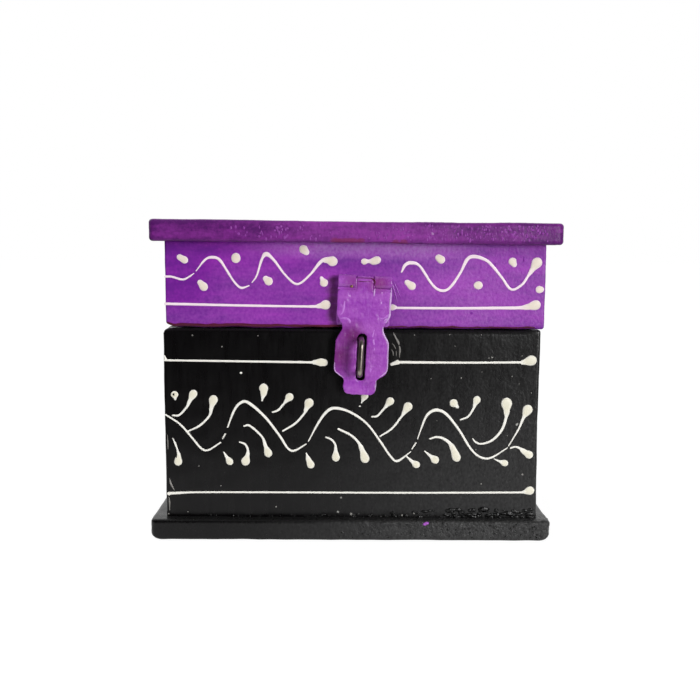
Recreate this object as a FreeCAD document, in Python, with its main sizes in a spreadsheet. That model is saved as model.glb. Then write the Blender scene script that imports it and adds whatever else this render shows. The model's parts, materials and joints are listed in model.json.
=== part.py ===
import FreeCAD, Part
import os
from math import cos, radians, sin
from types import SimpleNamespace

import Sketcher

# A small painted wooden jewellery box. Five boards make the tray and five more the lid. Two butt
# hinges join them behind, and a stamped hasp closes over a wire staple in front.
# Frame: origin at the middle of the underside, +X to the right, +Y to the back, +Z up.

# Driving dimensions, in millimetres and degrees
DIMENSIONS = {
    # bottom board and top board
    "board_width": 140,
    "board_depth": 100,
    "board_thick": 7,
    "board_corner": 2.2,
    "board_edge": 1.3,
    "overhang": 4.4,
    # walls of the tray and rails of the lid
    "wall_thick": 7,
    "wall_height": 67.4,
    "wall_edge": 2.0,
    "lid_gap": 0.4,
    "rail_height": 29.7,
    "rail_edge": 1.0,
    "box_corner": 0.8,
    "lid_shift": 1.0,
    # headless panel pins that hold the boards
    "pin_thick": 1.2,
    "pin_length": 18,
    "pin_low": 16,
    "pin_high": 52,
    "pin_spread": 52,
    "rail_pin_low": 8,
    "rail_pin_high": 21,
    # velvet panels inside
    "lining_thick": 1.0,
    "lining_glue": 0.3,
    "lining_reveal": 4,
    # round-headed nails that hold the metalwork
    "nail_thick": 1.4,
    "nail_length": 6.0,
    "nail_head": 3.0,
    "nail_dome": 0.6,
    "nail_bevel": 0.4,
    # butt hinges on the back
    "hinge_spread": 38,
    "hinge_length": 25,
    "hinge_reach": 9.5,
    "hinge_barrel": 3.7,
    "hinge_wire": 1.8,
    "hinge_nail_side": 8,
    "hinge_nail_drop": 5.8,
    # hasp on the lid's front, sizes below its pin
    "hasp_place": 4.2,
    "hasp_height": 90.9,
    "hasp_tilt": 2.6,
    "hasp_width": 18.4,
    "hasp_barrel": 4.7,
    "hasp_wire": 2.2,
    "hasp_knuckle": 6.0,
    "leaf_reach": 15.2,
    "leaf_nail_side": 5.6,
    "leaf_nail_top": 5.6,
    "leaf_nail_low": 11.6,
    "arm_barrel": 4.2,
    "arm_top": 2.7,
    "arm_shoulder": 11.4,
    "arm_waist": 15.7,
    "arm_waist_width": 13.3,
    "arm_flare": 20.2,
    "arm_flare_width": 18.0,
    "arm_eye_width": 18.6,
    "arm_step": 31.0,
    "arm_tab": 33.4,
    "arm_tab_width": 11.3,
    "arm_length": 38.8,
    "arm_soft": 2.4,
    "arm_corner": 1.2,
    "slot_top": 17.5,
    "slot_low": 33.8,
    "slot_width": 3.2,
    "slot_round": 1.4,
    # rolled knuckles of hinges and hasp
    "running_fit": 0.1,
    "knuckle_gap": 0.3,
    "roll_end": 290,
    "leaf_corner": 1.0,
    "pin_bevel": 0.3,
    # wire staple in the tray's front wall
    "staple_height": 65.8,
    "staple_span": 11.7,
    "staple_reach": 12.5,
    "staple_wire": 1.9,
    "staple_nose": 2.2,
    "staple_bend": 1.9,
    "staple_clinch": 2.6,
    "staple_proud": 0.2,
    "staple_aside": 0.35,
}

TOUCH = 1e-3
ACROSS = FreeCAD.Vector(0, 1, 0)
SIDEWAYS = FreeCAD.Vector(1, 0, 0)

doc = FreeCAD.newDocument("jewellery_box")
sheet = doc.addObject("Spreadsheet::Sheet", "dims")
for row, (alias, number) in enumerate(DIMENSIONS.items(), start=1):
    sheet.set(f"A{row}", alias.replace("_", " "))
    sheet.set(f"B{row}", str(number))
    sheet.setAlias(f"B{row}", alias)
doc.recompute()


# Sizes that carry their formula


class Size:
    """A size that knows its number and the sheet formula that the number came from."""

    def __init__(self, number, text):
        self.number = number
        self.text = text

    def __add__(self, other):
        other = as_size(other)
        return Size(self.number + other.number, f"({self.text} + {other.text})")

    def __mul__(self, factor):
        return Size(self.number * factor, f"({self.text} * {factor})")

    def __neg__(self):
        return self * -1

    def __sub__(self, other):
        return self + as_size(other) * -1

    def __rsub__(self, other):
        return as_size(other) - self

    def __truediv__(self, divisor):
        return Size(self.number / divisor, f"({self.text} / {divisor})")

    __radd__ = __add__
    __rmul__ = __mul__


def as_size(item):
    return item if isinstance(item, Size) else Size(float(item), str(item))


size = SimpleNamespace(**{alias: Size(float(sheet.get(alias)), f"dims.{alias}") for alias in DIMENSIONS})

body_width = size.board_width - 2 * size.overhang
body_depth = size.board_depth - 2 * size.overhang
inner_width = body_width - 2 * size.wall_thick
inner_depth = body_depth - 2 * size.wall_thick
tray_top = size.board_thick + size.wall_height
lid_bottom = tray_top + size.lid_gap
lid_top = lid_bottom + size.rail_height
front = body_depth / -2
back = body_depth / 2
wall_middle = size.wall_thick / 2
hinge_axis_y = back + size.hinge_barrel / 2
hinge_axis_z = tray_top + size.lid_gap / 2
hasp_axis_y = front - size.hasp_barrel / 2


# Sketches and features


def new_body(label):
    made = doc.addObject("PartDesign::Body", label)
    made.Label = label
    return made


def origin_plane(owner, role):
    return next(item for item in owner.Origin.OriginFeatures if item.Role == role)


def sketch_on(owner, role, offset=0):
    """A sketch on one of the body's own planes, moved along that plane's normal."""
    made = owner.newObject("Sketcher::SketchObject", f"{owner.Name}_sketch")
    made.AttachmentSupport = [(origin_plane(owner, role), "")]
    made.MapMode = "FlatFace"
    made.setExpression("AttachmentOffset.Base.z", as_size(offset).text)
    return made


def fix(sketch, kind, *where, to):
    """Adds a dimension to a sketch, bound to its formula."""
    to = as_size(to)
    index = sketch.addConstraint(Sketcher.Constraint(kind, *where, to.number))
    sketch.setExpression(f"Constraints[{index}]", to.text)


def fix_point(sketch, curve, end, x, y):
    fix(sketch, "DistanceX", -1, 1, curve, end, to=x)
    fix(sketch, "DistanceY", -1, 1, curve, end, to=y)


def point(x, y):
    return FreeCAD.Vector(as_size(x).number, as_size(y).number, 0)


def outline(sketch, corners):
    """A closed outline of straight lines with every corner fixed."""
    first = sketch.GeometryCount
    count = len(corners)
    for index, corner in enumerate(corners):
        line = Part.LineSegment(point(*corner), point(*corners[(index + 1) % count]))
        sketch.addGeometry(line, False)
    for index, corner in enumerate(corners):
        after = first + (index + 1) % count
        sketch.addConstraint(Sketcher.Constraint("Coincident", first + index, 2, after, 1))
        fix_point(sketch, first + index, 1, *corner)


def rectangle(width, height):
    x = width / 2
    y = height / 2
    return [(-x, -y), (x, -y), (x, y), (-x, y)]


def circles(sketch, centres, diameter):
    for x, y in centres:
        circle = Part.Circle(point(x, y), FreeCAD.Vector(0, 0, 1), diameter.number / 2)
        index = sketch.addGeometry(circle, False)
        fix(sketch, "Diameter", index, to=diameter)
        fix_point(sketch, index, 3, x, y)


def pad(owner, sketch, length, backwards=False, both_ways=False):
    made = owner.newObject("PartDesign::Pad", f"{owner.Name}_pad")
    made.Profile = sketch
    made.Reversed = backwards
    made.SideType = "Symmetric" if both_ways else "One side"
    made.setExpression("Length", as_size(length).text)
    return made


def cut_through(owner, sketch):
    """A cut along the sketch's normal, right through the body both ways."""
    made = owner.newObject("PartDesign::Pocket", f"{owner.Name}_cut")
    made.Profile = sketch
    made.SideType = "Symmetric"
    made.Type = "ThroughAll"
    return made


def soften(owner, feature, chosen, amount, bevelled=False):
    """Rounds the edges of a feature that the test picks, or bevels them."""
    doc.recompute()
    names = [f"Edge{n}" for n, edge in enumerate(feature.Shape.Edges, start=1) if chosen(edge.BoundBox)]
    if not names:
        raise RuntimeError(f"{owner.Label}: no edge to soften")
    kind, measure = ("Chamfer", "Size") if bevelled else ("Fillet", "Radius")
    made = owner.newObject(f"PartDesign::{kind}", f"{owner.Name}_edge")
    made.Base = (feature, names)
    made.setExpression(measure, amount.text)
    return made


def put(item, x=0, y=0, z=0, axis=None, angle=0):
    """Places an item by formulas, turned about one axis where one is given."""
    if axis:
        angle = as_size(angle)
        item.Placement = FreeCAD.Placement(FreeCAD.Vector(), FreeCAD.Rotation(axis, angle.number))
        item.setExpression("Placement.Rotation.Angle", f"{angle.text} * 1deg")
    for name, amount in zip("xyz", (x, y, z)):
        item.setExpression(f"Placement.Base.{name}", as_size(amount).text)


# Tests that pick edges, each given an edge's box in the body's own frame


def upright(box):
    return max(box.XLength, box.YLength) < TOUCH


def level(box):
    return box.ZLength < TOUCH


def on_face(direction, amount):
    """Edges that lie in the plane where one coordinate has the given value."""
    def test(box):
        low = getattr(box, f"{direction}Min")
        high = getattr(box, f"{direction}Max")
        return max(abs(low - amount.number), abs(high - amount.number)) < TOUCH
    return test


def through_sheet_at(corners):
    """Edges that run through a flat sheet, front to back, at the given corners."""
    def test(box):
        if max(box.XLength, box.ZLength) > TOUCH:
            return False
        return any(abs(box.XMin - as_size(x).number) + abs(box.ZMin - as_size(z).number) < 2 * TOUCH
                   for x, z in corners)
    return test


# Boards


def board(label, width, depth, height, rounds, x=0, y=0, z=0):
    """A board drawn in plan and raised, with its rounded edges."""
    made = new_body(f"{label}_blank")
    sketch = sketch_on(made, "XY_Plane")
    outline(sketch, rectangle(width, depth))
    feature = pad(made, sketch, height)
    for chosen, radius in rounds:
        feature = soften(made, feature, chosen, radius)
    put(made, x, y, z)
    return made


def wide_board(label, **place):
    """Bottom or top board: plan corners rounded first, then the edges all round."""
    rounds = [(upright, size.board_corner), (level, size.board_edge)]
    return board(label, size.board_width, size.board_depth, size.board_thick, rounds, **place)


def long_side(label, height, seam_edge, edge, facing, **place):
    """Front or back board of tray or lid: its edge at the seam is rounded first, then its ends."""
    outer = on_face("Y", facing * size.wall_thick / 2)

    def along_seam(box):
        return outer(box) and seam_edge(box)

    def at_corner(box):
        return outer(box) and upright(box)
    rounds = [(along_seam, edge), (at_corner, size.box_corner)]
    return board(label, body_width, size.wall_thick, height, rounds, **place)


def short_side(label, height, seam_edge, edge, facing, **place):
    """Left or right board, which fits between the long ones: only its seam edge is rounded."""
    outer = on_face("X", facing * size.wall_thick / 2)

    def chosen(box):
        return outer(box) and seam_edge(box)
    return board(label, size.wall_thick, inner_depth, height, [(chosen, edge)], **place)


def frame_boards(names, height, seam_edge, edge, x, z):
    """The four upright boards of the tray or of the lid, as blanks by side."""
    reach_x = body_width / 2 - wall_middle
    reach_y = body_depth / 2 - wall_middle
    shared = {"height": height, "seam_edge": seam_edge, "edge": edge, "z": z}
    return {
        "front": long_side(names.format("front"), facing=-1, x=x, y=-reach_y, **shared),
        "back": long_side(names.format("back"), facing=1, x=x, y=reach_y, **shared),
        "left": short_side(names.format("left"), facing=-1, x=x - reach_x, **shared),
        "right": short_side(names.format("right"), facing=1, x=x + reach_x, **shared),
    }


bottom_blank = wide_board("bottom_board")
top_blank = wide_board("top_board", x=size.lid_shift, z=lid_top)
tray_seam = on_face("Z", size.wall_height)
tray_blanks = frame_boards(
    "{}_wall", size.wall_height, tray_seam, size.wall_edge, x=as_size(0), z=size.board_thick)
lid_seam = on_face("Z", as_size(0))
lid_blanks = frame_boards(
    "lid_{}_rail", size.rail_height, lid_seam, size.rail_edge, x=size.lid_shift, z=lid_bottom)


# Panel pins


def corner_pins(label, heights, x, z):
    """Pins driven through the long boards into the ends of the short ones, front and back."""
    made = new_body(label)
    sketch = sketch_on(made, "XZ_Plane", offset=back)
    side = body_width / 2 - wall_middle
    circles(sketch, [(sign * side, height) for sign in (-1, 1) for height in heights], size.pin_thick)
    feature = pad(made, sketch, size.pin_length, backwards=True)
    mirror = made.newObject("PartDesign::Mirrored", f"{label}_mirror")
    mirror.Originals = [feature]
    mirror.MirrorPlane = (origin_plane(made, "XZ_Plane"), [""])
    made.Tip = mirror
    put(made, x=x, z=z)
    return made


def board_pins(label, downwards, x, z):
    """Pins driven through a wide board into the edges of the four boards that carry it."""
    made = new_body(label)
    sketch = sketch_on(made, "XY_Plane")
    side = body_width / 2 - wall_middle
    end = body_depth / 2 - wall_middle
    places = [(sign * size.pin_spread, turn * end) for sign in (-1, 1) for turn in (-1, 1)]
    circles(sketch, places + [(-side, 0), (side, 0)], size.pin_thick)
    pad(made, sketch, size.pin_length, backwards=downwards)
    put(made, x=x, z=z)
    return made


wall_pin_heights = (size.pin_low, size.pin_high)
rail_pin_heights = (size.rail_pin_low, size.rail_pin_high)
base_corner_pins = corner_pins("base_corner_pins", wall_pin_heights, 0, size.board_thick)
lid_corner_pins = corner_pins("lid_corner_pins", rail_pin_heights, size.lid_shift, lid_bottom)
bottom_board_pins = board_pins("bottom_board_pins", False, 0, 0)
top_board_pins = board_pins("top_board_pins", True, size.lid_shift, lid_top + size.board_thick)


# Rolled leaves of the hinges and the hasp


def rolled_profile(sketch, barrel, bore, reach, side):
    """A sheet that hangs from its rolled eye: the eye is round the origin, and the sheet is flush
    with the eye's outside on the side given. The roll stops just short of the sheet."""
    radius = barrel / 2
    stop = radians(DIMENSIONS["roll_end"])
    turn = (0, stop) if side > 0 else (radians(180) - stop, radians(180))
    root, tip = (1, 2) if side > 0 else (2, 1)
    centre = Part.Circle(FreeCAD.Vector(), FreeCAD.Vector(0, 0, 1), 1)
    for amount in (radius, bore):
        centre.Radius = amount.number
        sketch.addGeometry(Part.ArcOfCircle(centre, *turn), False)
    outer, inner, lip, face, end, rear = range(6)
    at_stop = FreeCAD.Vector(side * cos(stop), sin(stop), 0)
    corners = [point(side * amount, 0) for amount in (radius, bore)]
    feet = [point(side * amount, -reach) for amount in (radius, bore)]
    sketch.addGeometry(Part.LineSegment(at_stop * radius.number, at_stop * bore.number), False)
    sketch.addGeometry(Part.LineSegment(corners[0], feet[0]), False)
    sketch.addGeometry(Part.LineSegment(feet[0], feet[1]), False)
    sketch.addGeometry(Part.LineSegment(feet[1], corners[1]), False)
    joins = [(outer, tip, lip, 1), (lip, 2, inner, tip), (outer, root, face, 1), (face, 2, end, 1),
             (end, 2, rear, 1), (rear, 2, inner, root), (outer, 3, -1, 1), (inner, 3, -1, 1)]
    for join in joins:
        sketch.addConstraint(Sketcher.Constraint("Coincident", *join))
    for line in (face, rear):
        sketch.addConstraint(Sketcher.Constraint("Vertical", line))
    sketch.addConstraint(Sketcher.Constraint("Horizontal", end))
    for arc in (outer, inner):
        sketch.addConstraint(Sketcher.Constraint("PointOnObject", arc, root, -1))
    sketch.addConstraint(Sketcher.Constraint("PointOnObject", -1, 1, lip))
    fix(sketch, "Radius", outer, to=radius)
    fix(sketch, "Radius", inner, to=bore)
    fix(sketch, "DistanceY", -1, 1, face, 2, to=-reach)
    heading = size.roll_end - 180 if side > 0 else 360 - size.roll_end
    index = sketch.addConstraint(Sketcher.Constraint("Angle", lip, radians(heading.number)))
    sketch.setExpression(f"Constraints[{index}]", f"{heading.text} * 1deg")


def rolled_leaf(label, width, barrel, bore, reach, side):
    made = new_body(f"{label}_blank")
    sketch = sketch_on(made, "YZ_Plane")
    rolled_profile(sketch, barrel, bore, reach, side)
    return made, pad(made, sketch, width, both_ways=True)


def notch(owner, spans, barrel):
    """Cuts the eye away between the knuckles that the leaf keeps, as (start, end) along X."""
    sketch = sketch_on(owner, "XZ_Plane")
    low = barrel * -0.62
    high = barrel
    for start, end in spans:
        outline(sketch, [(start, low), (end, low), (end, high), (start, high)])
    return cut_through(owner, sketch)


def hinge_leaf(label, kept, bore, side, flip, x):
    """A butt hinge's leaf with its share of the five knuckles and rounded outer corners."""
    made, feature = rolled_leaf(label, size.hinge_length, size.hinge_barrel, bore, size.hinge_reach, side)
    step = size.hinge_length / 5
    half_gap = size.knuckle_gap / 2
    spans = []
    for index in sorted(set(range(5)) - set(kept)):
        start = step * (index - 2.5) - half_gap
        end = step * (index - 1.5) + half_gap
        spans.append((start, end))
    feature = notch(made, spans, size.hinge_barrel)
    half = size.hinge_length / 2
    feet = [(sign * half, -size.hinge_reach) for sign in (-1, 1)]
    soften(made, feature, through_sheet_at(feet), size.leaf_corner)
    put(made, x, hinge_axis_y, hinge_axis_z, axis=SIDEWAYS, angle=180 if flip else 0)
    return made


def wire_pin(label, diameter, length, **place):
    """A hinge's pin with bevelled ends."""
    made = new_body(label)
    sketch = sketch_on(made, "YZ_Plane")
    circles(sketch, [(0, 0)], diameter)
    feature = pad(made, sketch, length, both_ways=True)
    half = length / 2
    ends = (on_face("X", -half), on_face("X", half))
    soften(made, feature, lambda box: any(test(box) for test in ends), size.pin_bevel, bevelled=True)
    put(made, **place)
    return made


def nails(label, places, seat, outwards):
    """Round-headed nails driven square into an upright face, given as places in X and Z. The heads
    sit on the sheet at the seat, and outwards is -1 for heads that face the front."""
    made = new_body(label)
    shanks = sketch_on(made, "XZ_Plane")
    circles(shanks, places, size.nail_thick)
    pad(made, shanks, size.nail_length, backwards=outwards < 0)
    heads = sketch_on(made, "XZ_Plane")
    circles(heads, places, size.nail_head)
    feature = pad(made, heads, size.nail_dome, backwards=outwards > 0)
    soften(made, feature, on_face("Y", outwards * size.nail_dome), size.nail_bevel, bevelled=True)
    put(made, **seat)
    return made


fixed_bore = size.hinge_wire / 2
turning_bore = fixed_bore + size.running_fit
hinge_sides = {"left": -size.hinge_spread, "right": size.hinge_spread}
base_leaves = {}
lid_leaves = {}
hinge_pins = {}
for side_name, hinge_x in hinge_sides.items():
    base_leaves[side_name] = hinge_leaf(
        f"{side_name}_hinge_base_leaf", (0, 2, 4), fixed_bore, -1, False, hinge_x)
    lid_leaves[side_name] = hinge_leaf(
        f"{side_name}_hinge_lid_leaf", (1, 3), turning_bore, 1, True, hinge_x)
    hinge_pins[side_name] = wire_pin(
        f"{side_name}_hinge_pin", size.hinge_wire, size.hinge_length,
        x=hinge_x, y=hinge_axis_y, z=hinge_axis_z)

nail_columns = [hinge_x + sign * size.hinge_nail_side for hinge_x in hinge_sides.values() for sign in (-1, 1)]
base_seat = {"y": hinge_axis_y - fixed_bore, "z": hinge_axis_z - size.hinge_nail_drop}
lid_seat = {"y": hinge_axis_y - turning_bore, "z": hinge_axis_z + size.hinge_nail_drop}
hinge_base_nails = nails("hinge_base_nails", [(column, 0) for column in nail_columns], base_seat, 1)
hinge_lid_nails = nails("hinge_lid_nails", [(column, 0) for column in nail_columns], lid_seat, 1)


# Hasp

hasp_seat = {
    "x": size.hasp_place, "y": hasp_axis_y, "z": size.hasp_height, "axis": ACROSS, "angle": size.hasp_tilt}
hasp_fixed_bore = size.hasp_wire / 2
hasp_turning_bore = hasp_fixed_bore + size.running_fit
half_knuckle = size.hasp_knuckle / 2


def hasp_leaf():
    """The leaf nailed to the lid, hidden behind the arm: it keeps the two outer knuckles."""
    made, feature = rolled_leaf(
        "hasp_fixed_leaf", size.hasp_width, size.hasp_barrel, hasp_fixed_bore, size.leaf_reach, 1)
    half_gap = size.knuckle_gap / 2
    feature = notch(made, [(-half_knuckle - half_gap, half_knuckle + half_gap)], size.hasp_barrel)
    half = size.hasp_width / 2
    feet = [(sign * half, -size.leaf_reach) for sign in (-1, 1)]
    soften(made, feature, through_sheet_at(feet), size.leaf_corner)
    put(made, **hasp_seat)
    return made


def arm_side():
    """Corners down the arm's right-hand edge, from the shoulder to the end of the tab, each with
    the radius that rounds it."""
    half = size.hasp_width / 2
    waist = size.arm_waist_width / 2
    flare = size.arm_flare_width / 2
    eye = size.arm_eye_width / 2
    tab = size.arm_tab_width / 2
    return [
        (half, -size.arm_top, size.arm_corner),
        (half, -size.arm_shoulder, size.arm_corner),
        (waist, -size.arm_waist, size.arm_soft),
        (flare, -size.arm_flare, size.arm_soft),
        (eye, -size.arm_step, size.arm_soft),
        (tab, -size.arm_tab, size.arm_corner),
        (tab, -size.arm_length, size.arm_soft),
    ]


def hasp_arm():
    """The swinging arm: a rolled middle knuckle, a waist, a wide eye with a slot for the staple
    and a tab to lift it by. The outline is cut from a wider rolled strip."""
    made, feature = rolled_leaf(
        "hasp_arm", size.arm_eye_width + 2 * size.arm_corner, size.arm_barrel, hasp_turning_bore,
        size.arm_length + size.arm_corner, -1)
    neck = half_knuckle - size.knuckle_gap / 2
    side = arm_side()
    right = [(neck, size.hasp_barrel), (neck, -size.arm_top)] + [(x, z) for x, z, radius in side]
    left = [(-x, z) for x, z in reversed(right)]
    waste = sketch_on(made, "XZ_Plane")
    strip = size.arm_length + 2 * size.hasp_barrel
    outline(waste, rectangle(2 * size.arm_eye_width, 2 * strip))
    outline(waste, right + left)
    feature = cut_through(made, waste)
    for radius in (size.arm_corner, size.arm_soft):
        corners = [(sign * x, z) for x, z, wanted in side if wanted is radius for sign in (-1, 1)]
        feature = soften(made, feature, through_sheet_at(corners), radius)
    slot = sketch_on(made, "XZ_Plane")
    half = size.slot_width / 2
    low = -size.slot_low
    high = -size.slot_top
    slot_corners = [(-half, low), (half, low), (half, high), (-half, high)]
    outline(slot, slot_corners)
    feature = cut_through(made, slot)
    soften(made, feature, through_sheet_at(slot_corners), size.slot_round)
    put(made, **hasp_seat)
    return made


hasp_leaf_blank = hasp_leaf()
hasp_arm_blank = hasp_arm()
hasp_pin = wire_pin("hasp_pin", size.hasp_wire, size.hasp_width, **hasp_seat)
hasp_nail_seat = dict(hasp_seat, y=hasp_axis_y + hasp_fixed_bore)
hasp_nail_rows = (-size.leaf_nail_top, -size.leaf_nail_low)
hasp_nails = nails(
    "hasp_nails", [(sign * size.leaf_nail_side, row) for sign in (-1, 1) for row in hasp_nail_rows],
    hasp_nail_seat, -1)


# Staple


def staple_path(sketch):
    """Half of the wire's middle line in the upright plane: the straight nose, one leg through the
    wall and its end folded in towards the other inside. The wall's outer face is at zero."""
    height = size.staple_span / 2
    nose = size.staple_wire / 2 - size.staple_reach
    shoulder = nose + size.staple_nose
    rise = height - size.staple_nose
    inside = size.wall_thick - size.staple_wire / 2 + size.staple_proud
    turn = inside - size.staple_bend
    fold = height - size.staple_bend
    normal = FreeCAD.Vector(0, 0, 1)
    nose_circle = Part.Circle(point(shoulder, rise), normal, size.staple_nose.number)
    bend_circle = Part.Circle(point(turn, fold), normal, size.staple_bend.number)
    sketch.addGeometry(Part.LineSegment(point(nose, 0), point(nose, rise)), False)
    sketch.addGeometry(Part.ArcOfCircle(nose_circle, radians(90), radians(180)), False)
    sketch.addGeometry(Part.LineSegment(point(shoulder, height), point(turn, height)), False)
    sketch.addGeometry(Part.ArcOfCircle(bend_circle, 0, radians(90)), False)
    sketch.addGeometry(Part.LineSegment(point(inside, fold), point(inside, fold - size.staple_clinch)), False)
    front_run, nose_arc, leg, bend, clinch = range(5)
    for join in ((front_run, 2, nose_arc, 2), (nose_arc, 1, leg, 1), (leg, 2, bend, 2), (bend, 1, clinch, 1)):
        sketch.addConstraint(Sketcher.Constraint("Tangent", *join))
    sketch.addConstraint(Sketcher.Constraint("Vertical", front_run))
    sketch.addConstraint(Sketcher.Constraint("Horizontal", leg))
    sketch.addConstraint(Sketcher.Constraint("Vertical", clinch))
    fix_point(sketch, front_run, 1, nose, 0)
    fix(sketch, "Radius", nose_arc, to=size.staple_nose)
    fix(sketch, "Radius", bend, to=size.staple_bend)
    fix(sketch, "DistanceY", -1, 1, leg, 1, to=height)
    fix_point(sketch, clinch, 2, inside, fold - size.staple_clinch)


def staple():
    """Round wire swept along half of its path and mirrored. It leans as the hasp does, and stands
    a little to one side in the hasp's slot."""
    made = new_body("staple")
    path = sketch_on(made, "YZ_Plane")
    staple_path(path)
    section = sketch_on(made, "XY_Plane")
    circles(section, [(0, size.staple_wire / 2 - size.staple_reach)], size.staple_wire)
    doc.recompute()
    pipe = made.newObject("PartDesign::AdditivePipe", "staple_wire")
    pipe.Profile = section
    pipe.Spine = path
    mirror = made.newObject("PartDesign::Mirrored", "staple_mirror")
    mirror.Originals = [pipe]
    mirror.MirrorPlane = (origin_plane(made, "XY_Plane"), [""])
    made.Tip = mirror
    drop = (size.hasp_height - size.staple_height).text
    put(made, y=front, z=size.staple_height, axis=ACROSS, angle=size.hasp_tilt)
    across = (size.hasp_place - size.staple_aside).text
    made.setExpression("Placement.Base.x", f"{across} - {drop} * tan(dims.hasp_tilt * 1deg)")
    return made


wire_staple = staple()


# Velvet panels


def panel(label, width, depth, height, x=0, y=0, z=0):
    """A card panel covered in velvet, placed by the middle of its underside."""
    made = doc.addObject("Part::Box", label)
    made.setExpression("Length", as_size(width).text)
    made.setExpression("Width", as_size(depth).text)
    made.setExpression("Height", as_size(height).text)
    put(made, as_size(x) - width / 2, as_size(y) - depth / 2, z)
    return made


def tray_panels():
    """A floor panel and four wall panels that stand on it."""
    lining = size.lining_thick
    margin = 2 * size.lining_glue
    floor_width = inner_width - margin
    floor_depth = inner_depth - margin
    foot = size.board_thick + lining
    height = size.wall_height - lining - size.lining_reveal
    side_depth = floor_depth - 2 * lining - margin
    shift_x = floor_width / 2 - lining / 2
    shift_y = floor_depth / 2 - lining / 2
    return [
        panel("floor_lining", floor_width, floor_depth, lining, z=size.board_thick),
        panel("front_wall_lining", floor_width, lining, height, y=-shift_y, z=foot),
        panel("back_wall_lining", floor_width, lining, height, y=shift_y, z=foot),
        panel("left_wall_lining", lining, side_depth, height, x=-shift_x, z=foot),
        panel("right_wall_lining", lining, side_depth, height, x=shift_x, z=foot),
    ]


def lid_panel():
    """A panel glued under the top board, inside the rails."""
    margin = 2 * size.lining_glue
    return panel(
        "lid_top_lining", inner_width - margin, inner_depth - margin, size.lining_thick,
        x=size.lid_shift, z=lid_top - size.lining_thick)


linings = [*tray_panels(), lid_panel()]


# Sub-parts, each with the holes that its fixings leave

nodes = {}


def drilled(label, blank, *fixings):
    """The blank less everything that is driven through it."""
    tools = doc.addObject("Part::Compound", f"{label}_fixings")
    tools.Links = list(fixings)
    made = doc.addObject("Part::Cut", label)
    made.Label = label
    made.Base = blank
    made.Tool = tools
    nodes[label] = made


def whole(item):
    nodes[item.Label] = item


drilled("bottom_board", bottom_blank, bottom_board_pins)
drilled("front_wall", tray_blanks["front"], base_corner_pins, bottom_board_pins, wire_staple)
drilled("back_wall", tray_blanks["back"], base_corner_pins, bottom_board_pins, hinge_base_nails)
drilled("left_wall", tray_blanks["left"], base_corner_pins, bottom_board_pins)
drilled("right_wall", tray_blanks["right"], base_corner_pins, bottom_board_pins)
drilled("top_board", top_blank, top_board_pins)
drilled("lid_front_rail", lid_blanks["front"], lid_corner_pins, top_board_pins, hasp_nails)
drilled("lid_back_rail", lid_blanks["back"], lid_corner_pins, top_board_pins, hinge_lid_nails)
drilled("lid_left_rail", lid_blanks["left"], lid_corner_pins, top_board_pins)
drilled("lid_right_rail", lid_blanks["right"], lid_corner_pins, top_board_pins)
for side_name in hinge_sides:
    drilled(f"{side_name}_hinge_base_leaf", base_leaves[side_name], hinge_base_nails)
    drilled(f"{side_name}_hinge_lid_leaf", lid_leaves[side_name], hinge_lid_nails)
    whole(hinge_pins[side_name])
drilled("hasp_fixed_leaf", hasp_leaf_blank, hasp_nails)
hasp_arm_blank.Label = "hasp_arm"
for item in [hasp_arm_blank, hasp_pin, wire_staple, base_corner_pins, lid_corner_pins, bottom_board_pins,
             top_board_pins, hinge_base_nails, hinge_lid_nails, hasp_nails, *linings]:
    whole(item)

# Check and write
doc.recompute()
for item in doc.Objects:
    if {"Invalid", "Error"} & set(item.State):
        raise RuntimeError(f"{item.Label}: {item.State}")
os.makedirs("parts", exist_ok=True)
for label, item in nodes.items():
    shape = item.Shape
    if shape.isNull() or not shape.isValid() or not shape.Solids:
        raise RuntimeError(f"{label}: no valid solid")
    shape.exportStep(f"parts/{label}.step")
    print(f"{label}: {len(shape.Solids)} solids, {shape.Volume:.1f} cubic mm")
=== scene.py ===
# %% [markdown]
# A hand-painted jewellery box: a black tray on a plinth board, a purple lid with an overhanging
# top, a purple hasp over a bare wire staple, and ornament piped on in raised cream paint.
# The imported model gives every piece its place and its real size. This lesson adds the looks:
# paint with brush marks and lumps, piped beads, steel, and velvet inside.

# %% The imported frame
import json
from math import asin, cos, pi, radians, sin

import bmesh
import bpy
import numpy as np
from mathutils import Matrix, Vector, noise


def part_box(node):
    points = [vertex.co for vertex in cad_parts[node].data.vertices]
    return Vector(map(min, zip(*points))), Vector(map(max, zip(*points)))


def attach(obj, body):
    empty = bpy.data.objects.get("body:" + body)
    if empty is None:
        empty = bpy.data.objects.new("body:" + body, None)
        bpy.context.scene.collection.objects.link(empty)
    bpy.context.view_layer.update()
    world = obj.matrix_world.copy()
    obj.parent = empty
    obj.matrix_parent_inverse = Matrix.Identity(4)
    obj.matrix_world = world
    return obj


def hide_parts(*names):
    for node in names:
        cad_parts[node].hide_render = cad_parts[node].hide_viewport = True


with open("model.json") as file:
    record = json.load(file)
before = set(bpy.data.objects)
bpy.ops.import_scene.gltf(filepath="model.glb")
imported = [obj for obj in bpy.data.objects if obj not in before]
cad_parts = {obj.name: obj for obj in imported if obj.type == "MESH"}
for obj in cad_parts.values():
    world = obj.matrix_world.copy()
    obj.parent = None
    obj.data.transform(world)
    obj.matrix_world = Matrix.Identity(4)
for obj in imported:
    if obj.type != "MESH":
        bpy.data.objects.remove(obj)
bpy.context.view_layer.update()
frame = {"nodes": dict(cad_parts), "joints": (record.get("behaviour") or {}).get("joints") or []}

# %% [markdown]
# Lengths below are in millimetres, as a maker would write them, and are turned into metres when a
# mesh is made. In places x runs from left to right, y from front to back and z up, as in the packed
# model. Colours are written as sRGB hex values, and one function turns them to linear.

# %% Units and colours
MM = 0.001


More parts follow.
